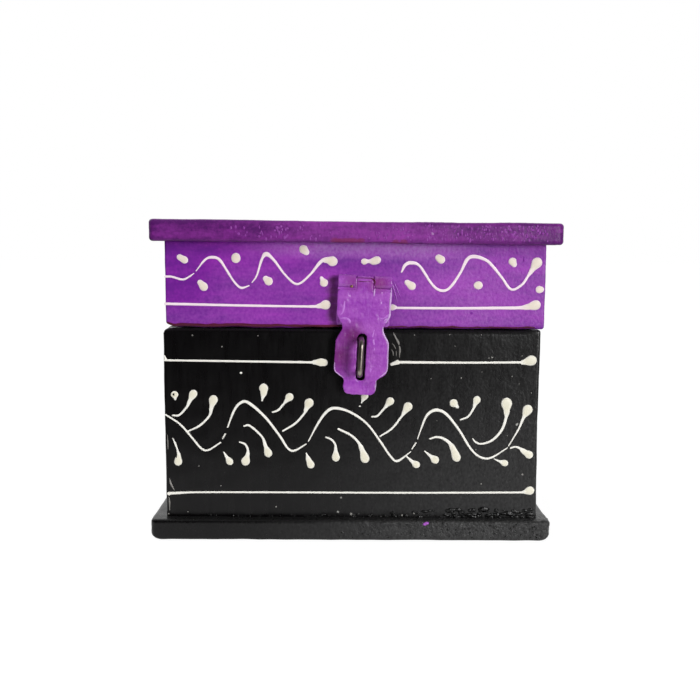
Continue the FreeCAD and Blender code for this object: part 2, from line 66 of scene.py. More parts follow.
def linear(hex_colour):
    """An sRGB hex value such as "#7a2f9d" as linear RGBA."""
    channels = [int(hex_colour[i:i + 2], 16) / 255 for i in (1, 3, 5)]
    return [c / 12.92 if c <= 0.04045 else ((c + 0.055) / 1.055) ** 2.4 for c in channels] + [1.0]


def node_box(node):
    """A CAD node's lowest and highest corners, in millimetres."""
    low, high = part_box(node)
    return np.array(low) / MM, np.array(high) / MM


tray_front = node_box("front_wall")[0][1]
lid_front = node_box("lid_front_rail")[0][1]
print("front faces at y =", round(tray_front, 2), round(lid_front, 2), "mm")

# %% [markdown]
# The camera stands where the photograph was taken: a little left of the middle, just below the
# lid's top, looking down by about seven degrees. It could be aimed by eye, but then no stroke of
# the ornament would fall where it should, so its place was solved from the box's corners.

# %% Camera
CAMERA_PLACE = (-4.14, -356.8, 107.7)
CAMERA_YAW = 0.617
CAMERA_PITCH = 7.417
CAMERA_ROLL = -0.44
CAMERA_LENS = 46.33
SENSOR_WIDTH = 36
NEAREST = 10


def place_camera():
    """Puts the camera at its place and turns it by its three angles in degrees."""
    yaw, pitch, roll = (radians(a) for a in (CAMERA_YAW, CAMERA_PITCH, CAMERA_ROLL))
    ahead = Vector((sin(yaw) * cos(pitch), cos(yaw) * cos(pitch), -sin(pitch)))
    level = Vector((cos(yaw), -sin(yaw), 0))
    down = ahead.cross(level)
    right = level * cos(roll) + down * sin(roll)
    under = down * cos(roll) - level * sin(roll)
    turn = Matrix((right, -under, -ahead)).transposed()
    data = bpy.data.cameras.new("photo_view")
    data.lens = CAMERA_LENS
    data.sensor_width = SENSOR_WIDTH
    data.clip_start = NEAREST * MM
    camera = bpy.data.objects.new("photo_view", data)
    camera.matrix_world = Matrix.Translation(Vector(CAMERA_PLACE) * MM) @ turn.to_4x4()
    bpy.context.scene.collection.objects.link(camera)
    bpy.context.scene.camera = camera
    return camera


print("camera at", place_camera().location)

# %% [markdown]
# One small function adds a shader node. Keyword settings are the node's own properties, and the
# dictionary fills its sockets: a socket in it is linked, and anything else is a plain value. Math
# and Mix nodes have several sockets of one name, so theirs are given by number.
# Patterns are sized in millimetres, and `per` turns such a size into a texture's scale.

# %% Shader helpers


def add(tree, kind, sockets=None, **settings):
    """Adds one node to a material's tree with its settings and links."""
    node = tree.nodes.new(kind)
    for name, value in settings.items():
        setattr(node, name, value)
    for key, value in (sockets or {}).items():
        if isinstance(value, bpy.types.NodeSocket):
            tree.links.new(value, node.inputs[key])
        else:
            node.inputs[key].default_value = value
    return node


def per(size_mm):
    """The scale of a pattern whose features are this many millimetres apart."""
    return 1000 / size_mm


def new_material(name):
    """An empty material, with its tree and the coordinates of the piece in metres."""
    material = bpy.data.materials.new(name)
    material.use_nodes = True
    tree = material.node_tree
    tree.nodes.clear()
    place = add(tree, "ShaderNodeTexCoord").outputs["Object"]
    return material, tree, place


print("a pattern with features 2 mm apart has the scale", per(2))

# %% [markdown]
# The box stands in a room that is white behind it and dim towards the camera. An even white world
# would be simpler, but it would wash out the front, where the satin paint mirrors the room. So the
# world's light depends on where it comes from: white from behind, dim from the front, and dimmest
# from the front left. The camera itself sees plain white.

# %% White studio
ROOM_LEFT = 0.02
ROOM_RIGHT = 0.14


def make_world():
    """A studio whose light depends on its direction, as shares of X to the right and Y to the back."""
    world = bpy.data.worlds.new("white_studio")
    world.use_nodes = True
    tree = world.node_tree
    tree.nodes.clear()
    toward = add(tree, "ShaderNodeTexCoord").outputs["Generated"]
    part = add(tree, "ShaderNodeSeparateXYZ", {"Vector": toward})
    room = add(tree, "ShaderNodeMapRange", {
        "Value": part.outputs["X"], "From Min": -0.6, "From Max": 0.6,
        "To Min": ROOM_LEFT, "To Max": ROOM_RIGHT}).outputs[0]
    studio = add(tree, "ShaderNodeMapRange", {
        "Value": part.outputs["Y"], "From Min": -0.25, "From Max": 0.35,
        "To Min": room, "To Max": 1.0}).outputs[0]
    seen = add(tree, "ShaderNodeLightPath").outputs["Is Camera Ray"]
    strength = add(tree, "ShaderNodeMath", {0: seen, 1: studio}, operation="MAXIMUM").outputs[0]
    light = add(tree, "ShaderNodeBackground", {"Color": (1, 1, 1, 1), "Strength": strength})
    add(tree, "ShaderNodeOutputWorld", {"Surface": light.outputs[0]})
    return world


bpy.context.scene.world = make_world()
bpy.context.scene.view_settings.view_transform = "Standard"
print("world:", bpy.context.scene.world.name)

# %% [markdown]
# Under the box lies white paper on a darker table. The paper lifts the shade near the foot of the
# box, as real paper does, and the table keeps the rest of the floor from lighting the front. A lit
# white plane alone would turn grey away from the lamps. So the camera sees mostly a plain white glow,
# with the lit paper and the box's shadow mixed in, and so do the mirror images of the paper in paint
# and metal.

# %% White paper
PAPER_END = 130
TABLE_START = 250
FLOOR_SIZE = 6000
FLOOR_DROP = 0.15
GLOW_STRENGTH = 1.14
GLOW_SHARE = 0.8


def make_floor():
    """Matt white paper that passes into a dark table further off, and that the camera sees as white."""
    material, tree, place = new_material("white_paper")
    path = add(tree, "ShaderNodeLightPath").outputs
    far = add(tree, "ShaderNodeVectorMath", {0: place}, operation="LENGTH").outputs["Value"]
    unseen = add(tree, "ShaderNodeMath", {0: 1.0, 1: path["Is Camera Ray"]}, operation="SUBTRACT").outputs[0]
    table = add(tree, "ShaderNodeMapRange", {
        "Value": far, "From Min": PAPER_END * MM, "From Max": TABLE_START * MM, "To Max": unseen}).outputs[0]
    tone = add(tree, "ShaderNodeMix", {0: table, 6: linear("#f4f4f4"), 7: linear("#4a4846")},
               data_type="RGBA").outputs[2]
    paper = add(tree, "ShaderNodeBsdfDiffuse", {"Color": tone})
    white = add(tree, "ShaderNodeEmission", {"Color": (1, 1, 1, 1), "Strength": GLOW_STRENGTH})
    shine = add(tree, "ShaderNodeMath", {0: path["Is Glossy Ray"], 1: path["Is Transmission Ray"]},
                operation="MAXIMUM").outputs[0]
    near = add(tree, "ShaderNodeMath", {0: 1.0, 1: table}, operation="SUBTRACT").outputs[0]
    mirrored = add(tree, "ShaderNodeMath", {0: shine, 1: near}, operation="MULTIPLY").outputs[0]
    seen = add(tree, "ShaderNodeMath", {0: path["Is Camera Ray"], 1: mirrored},
               operation="MAXIMUM").outputs[0]
    share = add(tree, "ShaderNodeMath", {0: seen, 1: GLOW_SHARE}, operation="MULTIPLY").outputs[0]
    surface = add(tree, "ShaderNodeMixShader", {0: share, 1: paper.outputs[0], 2: white.outputs[0]})
    add(tree, "ShaderNodeOutputMaterial", {"Surface": surface.outputs[0]})
    bpy.ops.mesh.primitive_plane_add(size=FLOOR_SIZE * MM, location=(0, 0, -FLOOR_DROP * MM))
    floor = bpy.context.object
    floor.name = "floor"
    floor.data.materials.append(material)
    return floor


print("floor:", make_floor().name)

# %% [markdown]
# A soft window of light stands to the right of the camera, so the hasp throws its shadow to the
# left and bare wire shows one long glint. A weaker one hangs on the left, higher up, so that the
# overhang shades the lid a little. The second lamp isn't mirrored in the paint: its image would draw
# a grey line along the tray's rounded upper edge that the real box doesn't show.

# %% Lamps
KEY = {"side": 33, "rise": 9, "away": 1.2, "width": 0.3, "height": 0.52, "power": 9.9}
FILL = {"side": -38, "rise": 40, "away": 0.7, "width": 0.55, "height": 0.25, "power": 1.95}
AIM_HEIGHT = 60


def make_lamp(name, side, rise, away, width, height, power, shows=True):
    """A soft rectangle of light, aimed at the front from angles in degrees and a distance in metres."""
    data = bpy.data.lights.new(name, "AREA")
    data.shape = "RECTANGLE"
    data.size = width
    data.size_y = height
    data.energy = power
    lamp = bpy.data.objects.new(name, data)
    lamp.visible_camera = False
    lamp.visible_glossy = shows
    side, rise = radians(side), radians(rise)
    aim = Vector((0, tray_front, AIM_HEIGHT)) * MM
    toward = Vector((sin(side) * cos(rise), -cos(side) * cos(rise), sin(rise)))
    lamp.location = aim + toward * away
    lamp.rotation_euler = (-toward).to_track_quat("-Z", "Y").to_euler()
    bpy.context.scene.collection.objects.link(lamp)
    return lamp


lamps = [make_lamp("window", **KEY), make_lamp("high_fill", **FILL, shows=False)]
print("lamps:", [lamp.name for lamp in lamps])

# %% [markdown]
# The wood is painted with thick oil enamel, brushed on by hand and not rubbed down. The film is
# satin rather than glossy. It has fine upright streaks, wide clouds drawn out along the board where
# the brush ran, small lumps from fibres and dust, and here and there a stain. Painted shadows use the
# same tinted patches as the stains. All the colours share that surface, so one function makes it. An
# image could hold such marks, but patterns worked out in the shader need no unwrapping and keep their
# size in millimetres on every board.
# First come three parts of that paint: its patterns, tinted patches with frayed edges for stains and
# painted shadows, and specks of dust.

# %% Patterns, tinted patches and specks
STREAK_SPACING = 1.5
LUMP_SPACING = 0.9
FRAY = 6
TINT_CORE = 4
TINT_EDGE = 3
TINT_STRENGTH = 0.85
SPECK_SPACING = 4.5
SPECK_WOBBLE = 0.5
SPECK_SMALLEST = 0.04
SPECK_LARGEST = 0.13


def paint_patterns(tree, place, patch):
    """Upright streaks, clouds of the size patch drawn out along the board, and small lumps."""
    upright = add(tree, "ShaderNodeMapping", {"Vector": place, "Scale": (1, 1, 0.16)}).outputs[0]
    streaks = add(tree, "ShaderNodeTexNoise", {
        "Vector": upright, "Scale": per(STREAK_SPACING), "Detail": 4.0}).outputs["Fac"]
    brushed = add(tree, "ShaderNodeMapping", {"Vector": place, "Scale": (0.26, 1, 1)}).outputs[0]
    clouds = add(tree, "ShaderNodeTexNoise", {
        "Vector": brushed, "Scale": per(patch), "Detail": 6.0, "Roughness": 0.68}).outputs["Fac"]
    dabbed = add(tree, "ShaderNodeMapping", {"Vector": place, "Scale": (1, 1, 0.8)}).outputs[0]
    lumps = add(tree, "ShaderNodeTexNoise", {
        "Vector": dabbed, "Scale": per(LUMP_SPACING), "Detail": 3.0, "Roughness": 0.55}).outputs["Fac"]
    return streaks, clouds, lumps


def tinted(tree, place, clouds, colour, stains):
    """A colour with tinted patches mixed in: stains and painted shadows. A patch is a place, how far it
    reaches, and its tint.
    """
    for spot, reach, tint in stains:
        off = add(tree, "ShaderNodeVectorMath", {0: place, 1: Vector(spot) * MM},
                  operation="DISTANCE").outputs["Value"]
        frayed = add(tree, "ShaderNodeMath", {0: clouds, 1: FRAY * MM, 2: off},
                     operation="MULTIPLY_ADD").outputs[0]
        tint_share = add(tree, "ShaderNodeMapRange", {
            "Value": frayed, "From Min": TINT_CORE * MM, "From Max": (reach + TINT_EDGE) * MM,
            "To Min": TINT_STRENGTH, "To Max": 0.0}).outputs[0]
        colour = add(tree, "ShaderNodeMix", {0: tint_share, 6: colour, 7: linear(tint)},
                     data_type="RGBA").outputs[2]
    return colour


def specks(tree, place, share):
    """A mask of uneven specks of several sizes, in this share of the pattern's cells."""
    wobble = add(tree, "ShaderNodeTexNoise", {
        "Vector": place, "Scale": per(SPECK_WOBBLE), "Detail": 1.0}).outputs["Color"]
    shaken = add(tree, "ShaderNodeVectorMath", {0: wobble, 1: (SPECK_WOBBLE * MM,) * 3, 2: place},
                 operation="MULTIPLY_ADD").outputs["Vector"]
    grit = add(tree, "ShaderNodeTexVoronoi", {"Vector": shaken, "Scale": per(SPECK_SPACING)}, feature="F1")
    chance = add(tree, "ShaderNodeSeparateColor", {"Color": grit.outputs["Color"]})
    radius = add(tree, "ShaderNodeMapRange", {
        "Value": chance.outputs["Green"], "To Min": SPECK_SMALLEST, "To Max": SPECK_LARGEST}).outputs[0]
    speck = add(tree, "ShaderNodeMath", {0: grit.outputs["Distance"], 1: radius},
                operation="LESS_THAN").outputs[0]
    rare = add(tree, "ShaderNodeMath", {0: chance.outputs["Red"], 1: share}, operation="LESS_THAN").outputs[0]
    return add(tree, "ShaderNodeMath", {0: speck, 1: rare}, operation="MULTIPLY").outputs[0]


print("streaks every", STREAK_SPACING, "mm, lumps every", LUMP_SPACING, "mm")
print("specks of at most", round(SPECK_LARGEST * SPECK_SPACING, 2), "mm in radius")

# %% [markdown]
# The enamel's colour runs from a shade, pooled in the hollows, to the film itself. A mesh may carry
# two values per point, and both grow to the right. The haze value pulls the colour to the film and
# mixes in a paler bloom on the lumps. Besides a real grey bloom it holds painted light and shade:
# sheen on the black, and light and shade on the lid. The lumps value says how far the lumps stand up.
# Dust lies on the faces that look up. A bump is enough for lumps and streaks this low, since they
# don't show in an outline, and larger lumps are real meshes further on.

# %% Brushed enamel
STREAK_HEIGHT = 0.14
LUMP_HEIGHT = 0.5


def enamel(name, shade, film, bloom, fleck, roughness, flecks, grain=0.1, shine=0.3, dust=0.3, patch=7,
           stains=()):
    """Brushed oil enamel: alkyd paint of IOR about 1.5. The grain is how strong the lumps are on smooth
    parts, flecks the share of dusty cells, dust the bloom on upper faces, and patch the clouds' size."""
    material, tree, place = new_material(name)
    streaks, clouds, lumps = paint_patterns(tree, place, patch)
    lumpy = add(tree, "ShaderNodeAttribute", attribute_name="lumps").outputs["Fac"]
    # The haze value holds a real grey bloom and also painted light and shade.
    hazy_and_lit = add(tree, "ShaderNodeAttribute", attribute_name="haze_and_painted_light").outputs["Fac"]
    # Colour: from shade to film, then stains and painted shadows, bloom, dust and specks over it.
    worked = add(tree, "ShaderNodeMath", {0: hazy_and_lit, 1: 0.3, 2: clouds}, operation="MULTIPLY_ADD").outputs[0]
    mottled = add(tree, "ShaderNodeMath", {0: lumps, 1: 0.36, 2: worked}, operation="MULTIPLY_ADD").outputs[0]
    pooled = add(tree, "ShaderNodeMapRange", {
        "Value": mottled, "From Min": 0.56, "From Max": 1.07}).outputs[0]
    base = add(tree, "ShaderNodeMix", {0: pooled, 6: linear(shade), 7: linear(film)},
               data_type="RGBA").outputs[2]
    base = tinted(tree, place, clouds, base, stains)
    raised = add(tree, "ShaderNodeMapRange", {
        "Value": lumps, "From Min": 0.1, "From Max": 1.0, "To Max": hazy_and_lit}).outputs[0]
    facing = add(tree, "ShaderNodeTexCoord").outputs["Normal"]
    upward = add(tree, "ShaderNodeSeparateXYZ", {"Vector": facing}).outputs["Z"]
    settled = add(tree, "ShaderNodeMapRange", {
        "Value": upward, "From Min": 0.5, "From Max": 0.95, "To Max": dust}).outputs[0]
    pale = add(tree, "ShaderNodeMath", {0: raised, 1: settled}, operation="MAXIMUM").outputs[0]
    bloomed = add(tree, "ShaderNodeMix", {0: pale, 6: base, 7: linear(bloom)}, data_type="RGBA").outputs[2]
    bits = specks(tree, place, flecks)
    colour = add(tree, "ShaderNodeMix", {0: bits, 6: bloomed, 7: linear(fleck)}, data_type="RGBA").outputs[2]
    # Gloss and relief: streaks dull the film unevenly, and both patterns raise it.
    gloss = add(tree, "ShaderNodeMapRange", {
        "Value": streaks, "From Min": 0.3, "From Max": 0.7,
        "To Min": roughness - 0.05, "To Max": roughness + 0.07}).outputs[0]
    ridged = add(tree, "ShaderNodeBump", {
        "Height": streaks, "Strength": 0.3, "Distance": STREAK_HEIGHT * MM}).outputs[0]
    rough = add(tree, "ShaderNodeMapRange", {"Value": lumpy, "To Min": grain, "To Max": 1.0}).outputs[0]
    relief = add(tree, "ShaderNodeBump", {
        "Height": lumps, "Strength": rough, "Distance": LUMP_HEIGHT * MM, "Normal": ridged}).outputs[0]
    paint = add(tree, "ShaderNodeBsdfPrincipled", {
        "Base Color": colour, "Roughness": gloss, "IOR": 1.5, "Specular IOR Level": shine, "Normal": relief})
    add(tree, "ShaderNodeOutputMaterial", {"Surface": paint.outputs[0]})
    return material


print("streaks stand up by", STREAK_HEIGHT, "mm at most, lumps by", LUMP_HEIGHT, "mm")

# %% [markdown]
# The tray and the plinth are black. The film is almost pure black, and what shows is its grey haze
# and a low sheen; to the right and towards the foot that grey is also painted sheen. Where the paint
# dried in lumps it is thicker and catches more light.

# %% Paint of the tray
# Black oil enamel, brushed thin: a deep black with a soft sheen.
black_enamel = enamel(
    "black_oil_enamel", shade="#040304", film="#060506", bloom="#484848", fleck="#a0a09c",
    roughness=0.29, flecks=0.02, grain=0.05, shine=0.23, dust=0.2)
# The same enamel where it dried in lumps: glossier, so that every lump has a small light.
thick_enamel = enamel(
    "black_oil_enamel_in_lumps", shade="#030303", film="#070607", bloom="#3a3b40", fleck="#a0a09c",
    roughness=0.27, flecks=0.06, grain=0.5, shine=0.4, dust=0.08)
print("black paints:", black_enamel.name, thick_enamel.name)

# %% [markdown]
# The lid is purple. Its sides are clouded from violet to a brighter purple, with painted light and
# shade over that and a painted shadow along the hasp's left edge. The top board had a second coat,
# redder and more uneven, and along its lower edge the maroon undercoat shows where it is rubbed. A
# maroon line along the lid's lower edge is painted shade.

# %% Paint of the lid
# Painted shadow: a darker strip on the lid along the hasp's left edge, where the hasp's shadow falls.
painted_hasp_shadow = [((-6.8, -46, z), 3.2, "#541252") for z in range(76, 94, 3)]
rubbed_edge = [((x, -50, 104.6), 1.6, "#7c2452") for x in (-6, -4.4, -2.8, -1.2, 0.4, 2.6, 14.5, 17)]
# Purple oil enamel, brushed out along the boards: clouded and satin, with no specks.
purple_enamel = enamel(
    "purple_oil_enamel", shade="#6e1e90", film="#a834bc", bloom="#ac84c0", fleck="#b98ac8",
    roughness=0.4, flecks=0.0, grain=0.1, shine=0.25, stains=painted_hasp_shadow)
# A second coat of it, brushed over a dry one: darker, redder and dusty. Its lilac flecks are
# painted highlights.
top_enamel = enamel(
    "purple_oil_enamel_second_coat", shade="#541664", film="#9c38a6", bloom="#9c50aa", fleck="#a878b4",
    roughness=0.4, flecks=0.1, grain=0.06, shine=0.22, dust=0.26, patch=5, stains=rubbed_edge)
# Purple enamel dried in lumps on the top board. It is a little paler than the coat round it,
# as painted highlight on the lumps.
lump_highlight_enamel = enamel(
    "purple_enamel_lumps_with_painted_highlight", shade="#8c3a9c", film="#a050b0", bloom="#a868b8", fleck="#b98ac8",
    roughness=0.35, flecks=0.02, grain=0.3)
# A dull dark maroon, for grime on the hasp's knuckle and painted shade along the lid's lower edge.
maroon_enamel = enamel(
    "maroon_grime_and_edge_shade", shade="#4c0c2a", film="#641638", bloom="#7a3050", fleck="#8a4a68",
    roughness=0.4, flecks=0.02, grain=0.2)
print("lid paints:", purple_enamel.name, top_enamel.name, lump_highlight_enamel.name, maroon_enamel.name)

# %% [markdown]
# On the steel hasp the same purple lies over bare metal that soaks nothing up, so it is brighter and
# glossier. A dark red stain spreads left of the slot and round the knuckles; beside the slot it is
# also painted shadow of the staple. Pale strokes on the edges and on low ridges are painted highlights.

# %% Paint of the hasp
# Dark red stains; left of and above the slot they are also painted shadow of the staple.
hasp_stains = [
    ((-4.4, -50, 66), 9, "#6a1e62"),
    ((0.2, -50, 73), 6, "#6e2468"),
    ((0, -50, 91.4), 4.5, "#8c3a94"),
    ((8.8, -50, 91), 5, "#86327f"),
]
# Purple enamel brushed on sheet steel: bright, satin to glossy, with grainy brush marks.
steel_enamel = enamel(
    "purple_enamel_on_steel", shade="#963eb2", film="#c06fd0", bloom="#bd7ad2", fleck="#d2b0dc",
    roughness=0.24, flecks=0.03, grain=0.25, shine=0.5, patch=5, stains=hasp_stains)
# The same paint, a little paler: painted highlights on low ridges of paint.
ridge_highlight_enamel = enamel(
    "purple_enamel_ridge_highlight", shade="#b86ed0", film="#c07ad6", bloom="#c890dc", fleck="#d2b0dc",
    roughness=0.3, flecks=0.03, grain=0.25, shine=0.5)
# Almost lilac: painted highlights where the fat edge of the paint catches the light.
edge_highlight_enamel = enamel(
    "purple_enamel_edge_highlight", shade="#cda3dd", film="#d3abe2", bloom="#dfc0ea", fleck="#e6d0ee",
    roughness=0.3, flecks=0.03, grain=0.25, shine=0.5)
print("hasp paints:", steel_enamel.name, ridge_highlight_enamel.name, edge_highlight_enamel.name)

# %% [markdown]
# The ornament is piped with thick cream paint from a cone. Where the bead is tall it keeps its
# ivory body, and where it is thin it looks whiter. A colour ramp over the bead's height would need
# that height in the material, so each bead's mesh carries a "body" value instead. On the lid a
# little purple shines through the thin parts.

# %% Relief paint
PAINT_CLOUD = 2.5


def relief_paint(name, thin, thick_low, thick_high):
    """Acrylic relief paint: thick and opaque, with a satin skin that dried a little wrinkled."""
    material, tree, place = new_material(name)
    body = add(tree, "ShaderNodeAttribute", attribute_name="body").outputs["Fac"]
    cloud = add(tree, "ShaderNodeTexNoise", {
        "Vector": place, "Scale": per(PAINT_CLOUD), "Detail": 3.0}).outputs["Fac"]
    thick = add(tree, "ShaderNodeMix", {0: cloud, 6: linear(thick_low), 7: linear(thick_high)},
                data_type="RGBA").outputs[2]
    colour = add(tree, "ShaderNodeMix", {0: body, 6: linear(thin), 7: thick}, data_type="RGBA").outputs[2]
    skin = add(tree, "ShaderNodeBump", {"Height": cloud, "Strength": 0.2, "Distance": 0.15 * MM}).outputs[0]
    paint = add(tree, "ShaderNodeBsdfPrincipled", {
        "Base Color": colour, "Roughness": 0.45, "IOR": 1.48, "Normal": skin})
    add(tree, "ShaderNodeOutputMaterial", {"Surface": paint.outputs[0]})
    return material


# Cream paint piped on black: ivory where the bead is thick and nearly white where it is thin.
cream = relief_paint("cream_relief_paint", "#f6f4ec", "#e2dcc4", "#efecdc")
# The same on purple, which shows through the thin parts as a pinkish white.
cream_on_purple = relief_paint("cream_relief_paint_on_purple", "#fbe9f2", "#e4d7c2", "#f1e6dc")
# Dust that the wet paint caught: dull grey specks.
dust_grey = relief_paint("caught_dust", "#8a8884", "#93918c", "#a3a19c")
# Relief paint wiped to a thin film over black: a smoky grey.
thin_cream = relief_paint("smeared_relief_paint", "#827f7b", "#93918c", "#a9a7a0")
print("relief paints:", cream.name, cream_on_purple.name, dust_grey.name, thin_cream.name)

# %% [markdown]
# The metals are plain: the staple is bare drawn wire gone dark, the hinges are plated sheet that has
# dulled, and one worn spot on the hasp shows brass. Even metal is never even: handling leaves stains
# that are darker and duller. One noise drives the colour, the gloss and shallow pits alike, so that
# a dark stain is also a dull one.

# %% Steel and brass


def worn_metal(name, dark, bright, roughness, stain_mm):
    """Drawn or rolled metal whose surface has gone uneven with handling."""
    material, tree, place = new_material(name)
    stain = add(tree, "ShaderNodeTexNoise", {
        "Vector": place, "Scale": per(stain_mm), "Detail": 6.0, "Roughness": 0.65}).outputs["Fac"]
    worn = add(tree, "ShaderNodeMapRange", {"Value": stain, "From Min": 0.35, "From Max": 0.65}).outputs[0]
    colour = add(tree, "ShaderNodeMix", {0: worn, 6: linear(dark), 7: linear(bright)},
                 data_type="RGBA").outputs[2]
    gloss = add(tree, "ShaderNodeMapRange", {
        "Value": stain, "To Min": roughness + 0.1, "To Max": roughness - 0.06}).outputs[0]
    pits = add(tree, "ShaderNodeBump", {"Height": stain, "Strength": 0.1, "Distance": 0.03 * MM}).outputs[0]
    metal = add(tree, "ShaderNodeBsdfPrincipled", {
        "Base Color": colour, "Metallic": 1.0, "Roughness": gloss, "Normal": pits})
    add(tree, "ShaderNodeOutputMaterial", {"Surface": metal.outputs[0]})
    return material


# Drawn steel wire, browned by handling, with one long bright glint.
staple_steel = worn_metal("dark_drawn_steel_wire", "#776d67", "#aaa098", 0.3, stain_mm=6)
# Rolled sheet with a thin plating that has dulled to a grey sheen.
hinge_steel = worn_metal("dulled_plated_steel", "#77726a", "#a9a397", 0.38, stain_mm=4)
# Brass plating, worn bare: a warm yellow fleck.
bare_brass = worn_metal("bare_brass_plate", "#8f6f42", "#d0b083", 0.4, stain_mm=0.8)
print("metals:", staple_steel.name, hinge_steel.name, bare_brass.name)

# %% [markdown]
# The lining is cotton velvet. Its short pile stands up and its tips catch light at a glancing angle,
# which is what the shader's sheen is for. Hands brush the pile this way and that, so it has soft
# patches of two reds. Hair could draw every fibre, but they are too fine to show from here, so a
# bump draws them coarser, as tufts.

# %% Velvet
NAP_PATCH = 18
TUFT_SPACING = 0.7


def velvet():
    """Woven cotton velvet: upright pile about 1 mm long, brushed by hand."""
    material, tree, place = new_material("red_cotton_velvet")
    brushed = add(tree, "ShaderNodeTexNoise", {
        "Vector": place, "Scale": per(NAP_PATCH), "Detail": 3.0}).outputs["Fac"]
    pile = add(tree, "ShaderNodeTexNoise", {
        "Vector": place, "Scale": per(TUFT_SPACING), "Detail": 2.0}).outputs["Fac"]
    nap = add(tree, "ShaderNodeMapRange", {"Value": brushed, "From Min": 0.4, "From Max": 0.6}).outputs[0]
    colour = add(tree, "ShaderNodeMix", {0: nap, 6: linear("#5a0a16"), 7: linear("#7d1222")},
                 data_type="RGBA").outputs[2]
    tufts = add(tree, "ShaderNodeBump", {"Height": pile, "Strength": 0.6, "Distance": 0.4 * MM}).outputs[0]
    cloth = add(tree, "ShaderNodeBsdfPrincipled", {
        "Base Color": colour, "Roughness": 0.95, "Sheen Weight": 0.7, "Sheen Roughness": 0.35,
        "Sheen Tint": linear("#c98a92"), "Normal": tufts})
    add(tree, "ShaderNodeOutputMaterial", {"Surface": cloth.outputs[0]})
    return material


red_velvet = velvet()
print("cloth:", red_velvet.name)

# %% [markdown]
# The boards were cut and rounded by hand, so no edge is quite straight and the paint has filled
# and softened every corner. A bevel on the CAD mesh would give one even radius, and too few points
# for uneven paint. So each board is rebuilt as one closed grid of the CAD board's own size. The grid
# lies on a plain box at first, with its lines close together over the edges.

# %% Box grids
EDGE_ROWS = (0, 0.33, 0.59, 0.8, 1)
SQUARE = ((0, 0), (1, 0), (1, 1), (0, 1))


def grid_lines(low, high, reach, step):
    """Places of the grid along one side: close together over the edges, then even."""
    start = [low + reach * share for share in EDGE_ROWS]
    stop = [high - reach * share for share in reversed(EDGE_ROWS)]
    count = max(1, round((stop[0] - start[-1]) / step))
    return [*start, *np.linspace(start[-1], stop[0], count + 1)[1:-1], *stop]


def box_grid(low, high, reach, steps):
    """Points and quads of a closed box, as grids on its six sides that share their edges."""
    lines = [grid_lines(low[axis], high[axis], reach, steps[axis]) for axis in range(3)]
    last = [len(line) - 1 for line in lines]
    index = {}
    quads = []
    for axis in range(3):
        across, up = (axis + 1) % 3, (axis + 2) % 3
        for end in (0, last[axis]):
            for i in range(last[across]):
                for j in range(last[up]):
                    quad = []
                    for right, above in SQUARE:
                        key = [0, 0, 0]
                        key[axis], key[across], key[up] = end, i + right, j + above
                        quad.append(index.setdefault(tuple(key), len(index)))
                    quads.append(quad if end else quad[::-1])
    points = np.array([[lines[axis][key[axis]] for axis in range(3)] for key in index])
    return points, quads


print("grid lines along 20 mm:", len(grid_lines(0, 20, 2, 2)))

# %% [markdown]
# Then a function tells how far a point stands outside the rounded board, and each point is moved in
# by that much, so edges and corners come out round. A rounding is a list of radii, each with the
# faces that meet at it: "-x+x-y+y" are the four upright faces.

# %% Rounding
ROUNDING_STEPS = 8
NUDGE = 0.001


def outside_by(points, low, high, rounding):
    """How far points stand outside a board whose listed faces meet at the listed radius."""
    inner = None
    for radius, faces in rounding:
        depths = [] if inner is None else [inner + radius]
        for sign, letter in zip(faces[::2], faces[1::2]):
            axis = "xyz".index(letter)
            past = low[axis] - points[:, axis] if sign == "-" else points[:, axis] - high[axis]
            depths.append(radius + past)
        depths = np.array(depths)
        length = np.linalg.norm(np.maximum(depths, 0), axis=0)
        inner = np.where(length > 0, length, depths.max(axis=0)) - radius
    return inner


def round_off(points, low, high, rounding):
    """Moves the points of a box onto the rounded board, along the shortest way."""
    for step in range(ROUNDING_STEPS):
        away = outside_by(points, low, high, rounding)
        slope = np.zeros_like(points)
        for axis in range(3):
            nudge = np.zeros(3)
            nudge[axis] = NUDGE
            ahead = outside_by(points + nudge, low, high, rounding)
            behind = outside_by(points - nudge, low, high, rounding)
            slope[:, axis] = (ahead - behind) / (2 * NUDGE)
        points = points - slope * (away / np.maximum((slope**2).sum(axis=1), 1e-6))[:, None]
    return points


tip = round_off(np.array([[10.0, 10.0, 10.0]]), [0, 0, 0], [10, 10, 10], [(2, "-x+x-y+y-z+z")])
print("a corner rounded by 2 mm moves in to", tip[0].round(2))

# %% [markdown]
# Brushed paint lies a little unevenly, and on the front it dried over dust and old paint in small
# lumps. So each point is moved along its normal by smooth noise, and by sharper noise where the
# board is lumpy. A texture could displace the mesh in a modifier, but noise in code can stay off the
# faces where the lid meets the tray.

# %% Lie of the paint
WAVE_SIZE, WAVE_HEIGHT = 16, 0.16
DIMPLE_SIZE, DIMPLE_HEIGHT = 5, 0.08
BUMP_SIZE, BUMP_HEIGHT = 1.5, 0.45
BUMP_REST = 0.15


def ramp(value, low, high):
    """0 below low, 1 above high, and smooth between."""
    share = min(1.0, max(0.0, (value - low) / (high - low)))
    return share * share * (3 - 2 * share)


def paint_lie(place, seed, lumpy):
    """How far the paint stands off its true surface at a place, in millimetres."""
    spot = Vector(place)
    wave = noise.noise(spot / WAVE_SIZE + Vector((seed, 0, 0)))
    dimple = noise.noise(spot / DIMPLE_SIZE + Vector((0, seed, 0)))
    bump = abs(noise.noise(spot / BUMP_SIZE + Vector((0, 0, seed)))) - BUMP_REST
    return WAVE_HEIGHT * wave + DIMPLE_HEIGHT * dimple + BUMP_HEIGHT * lumpy * bump


print("paint stands off by", round(paint_lie((3, 4, 5), 1, 0.5), 3), "mm at one place")

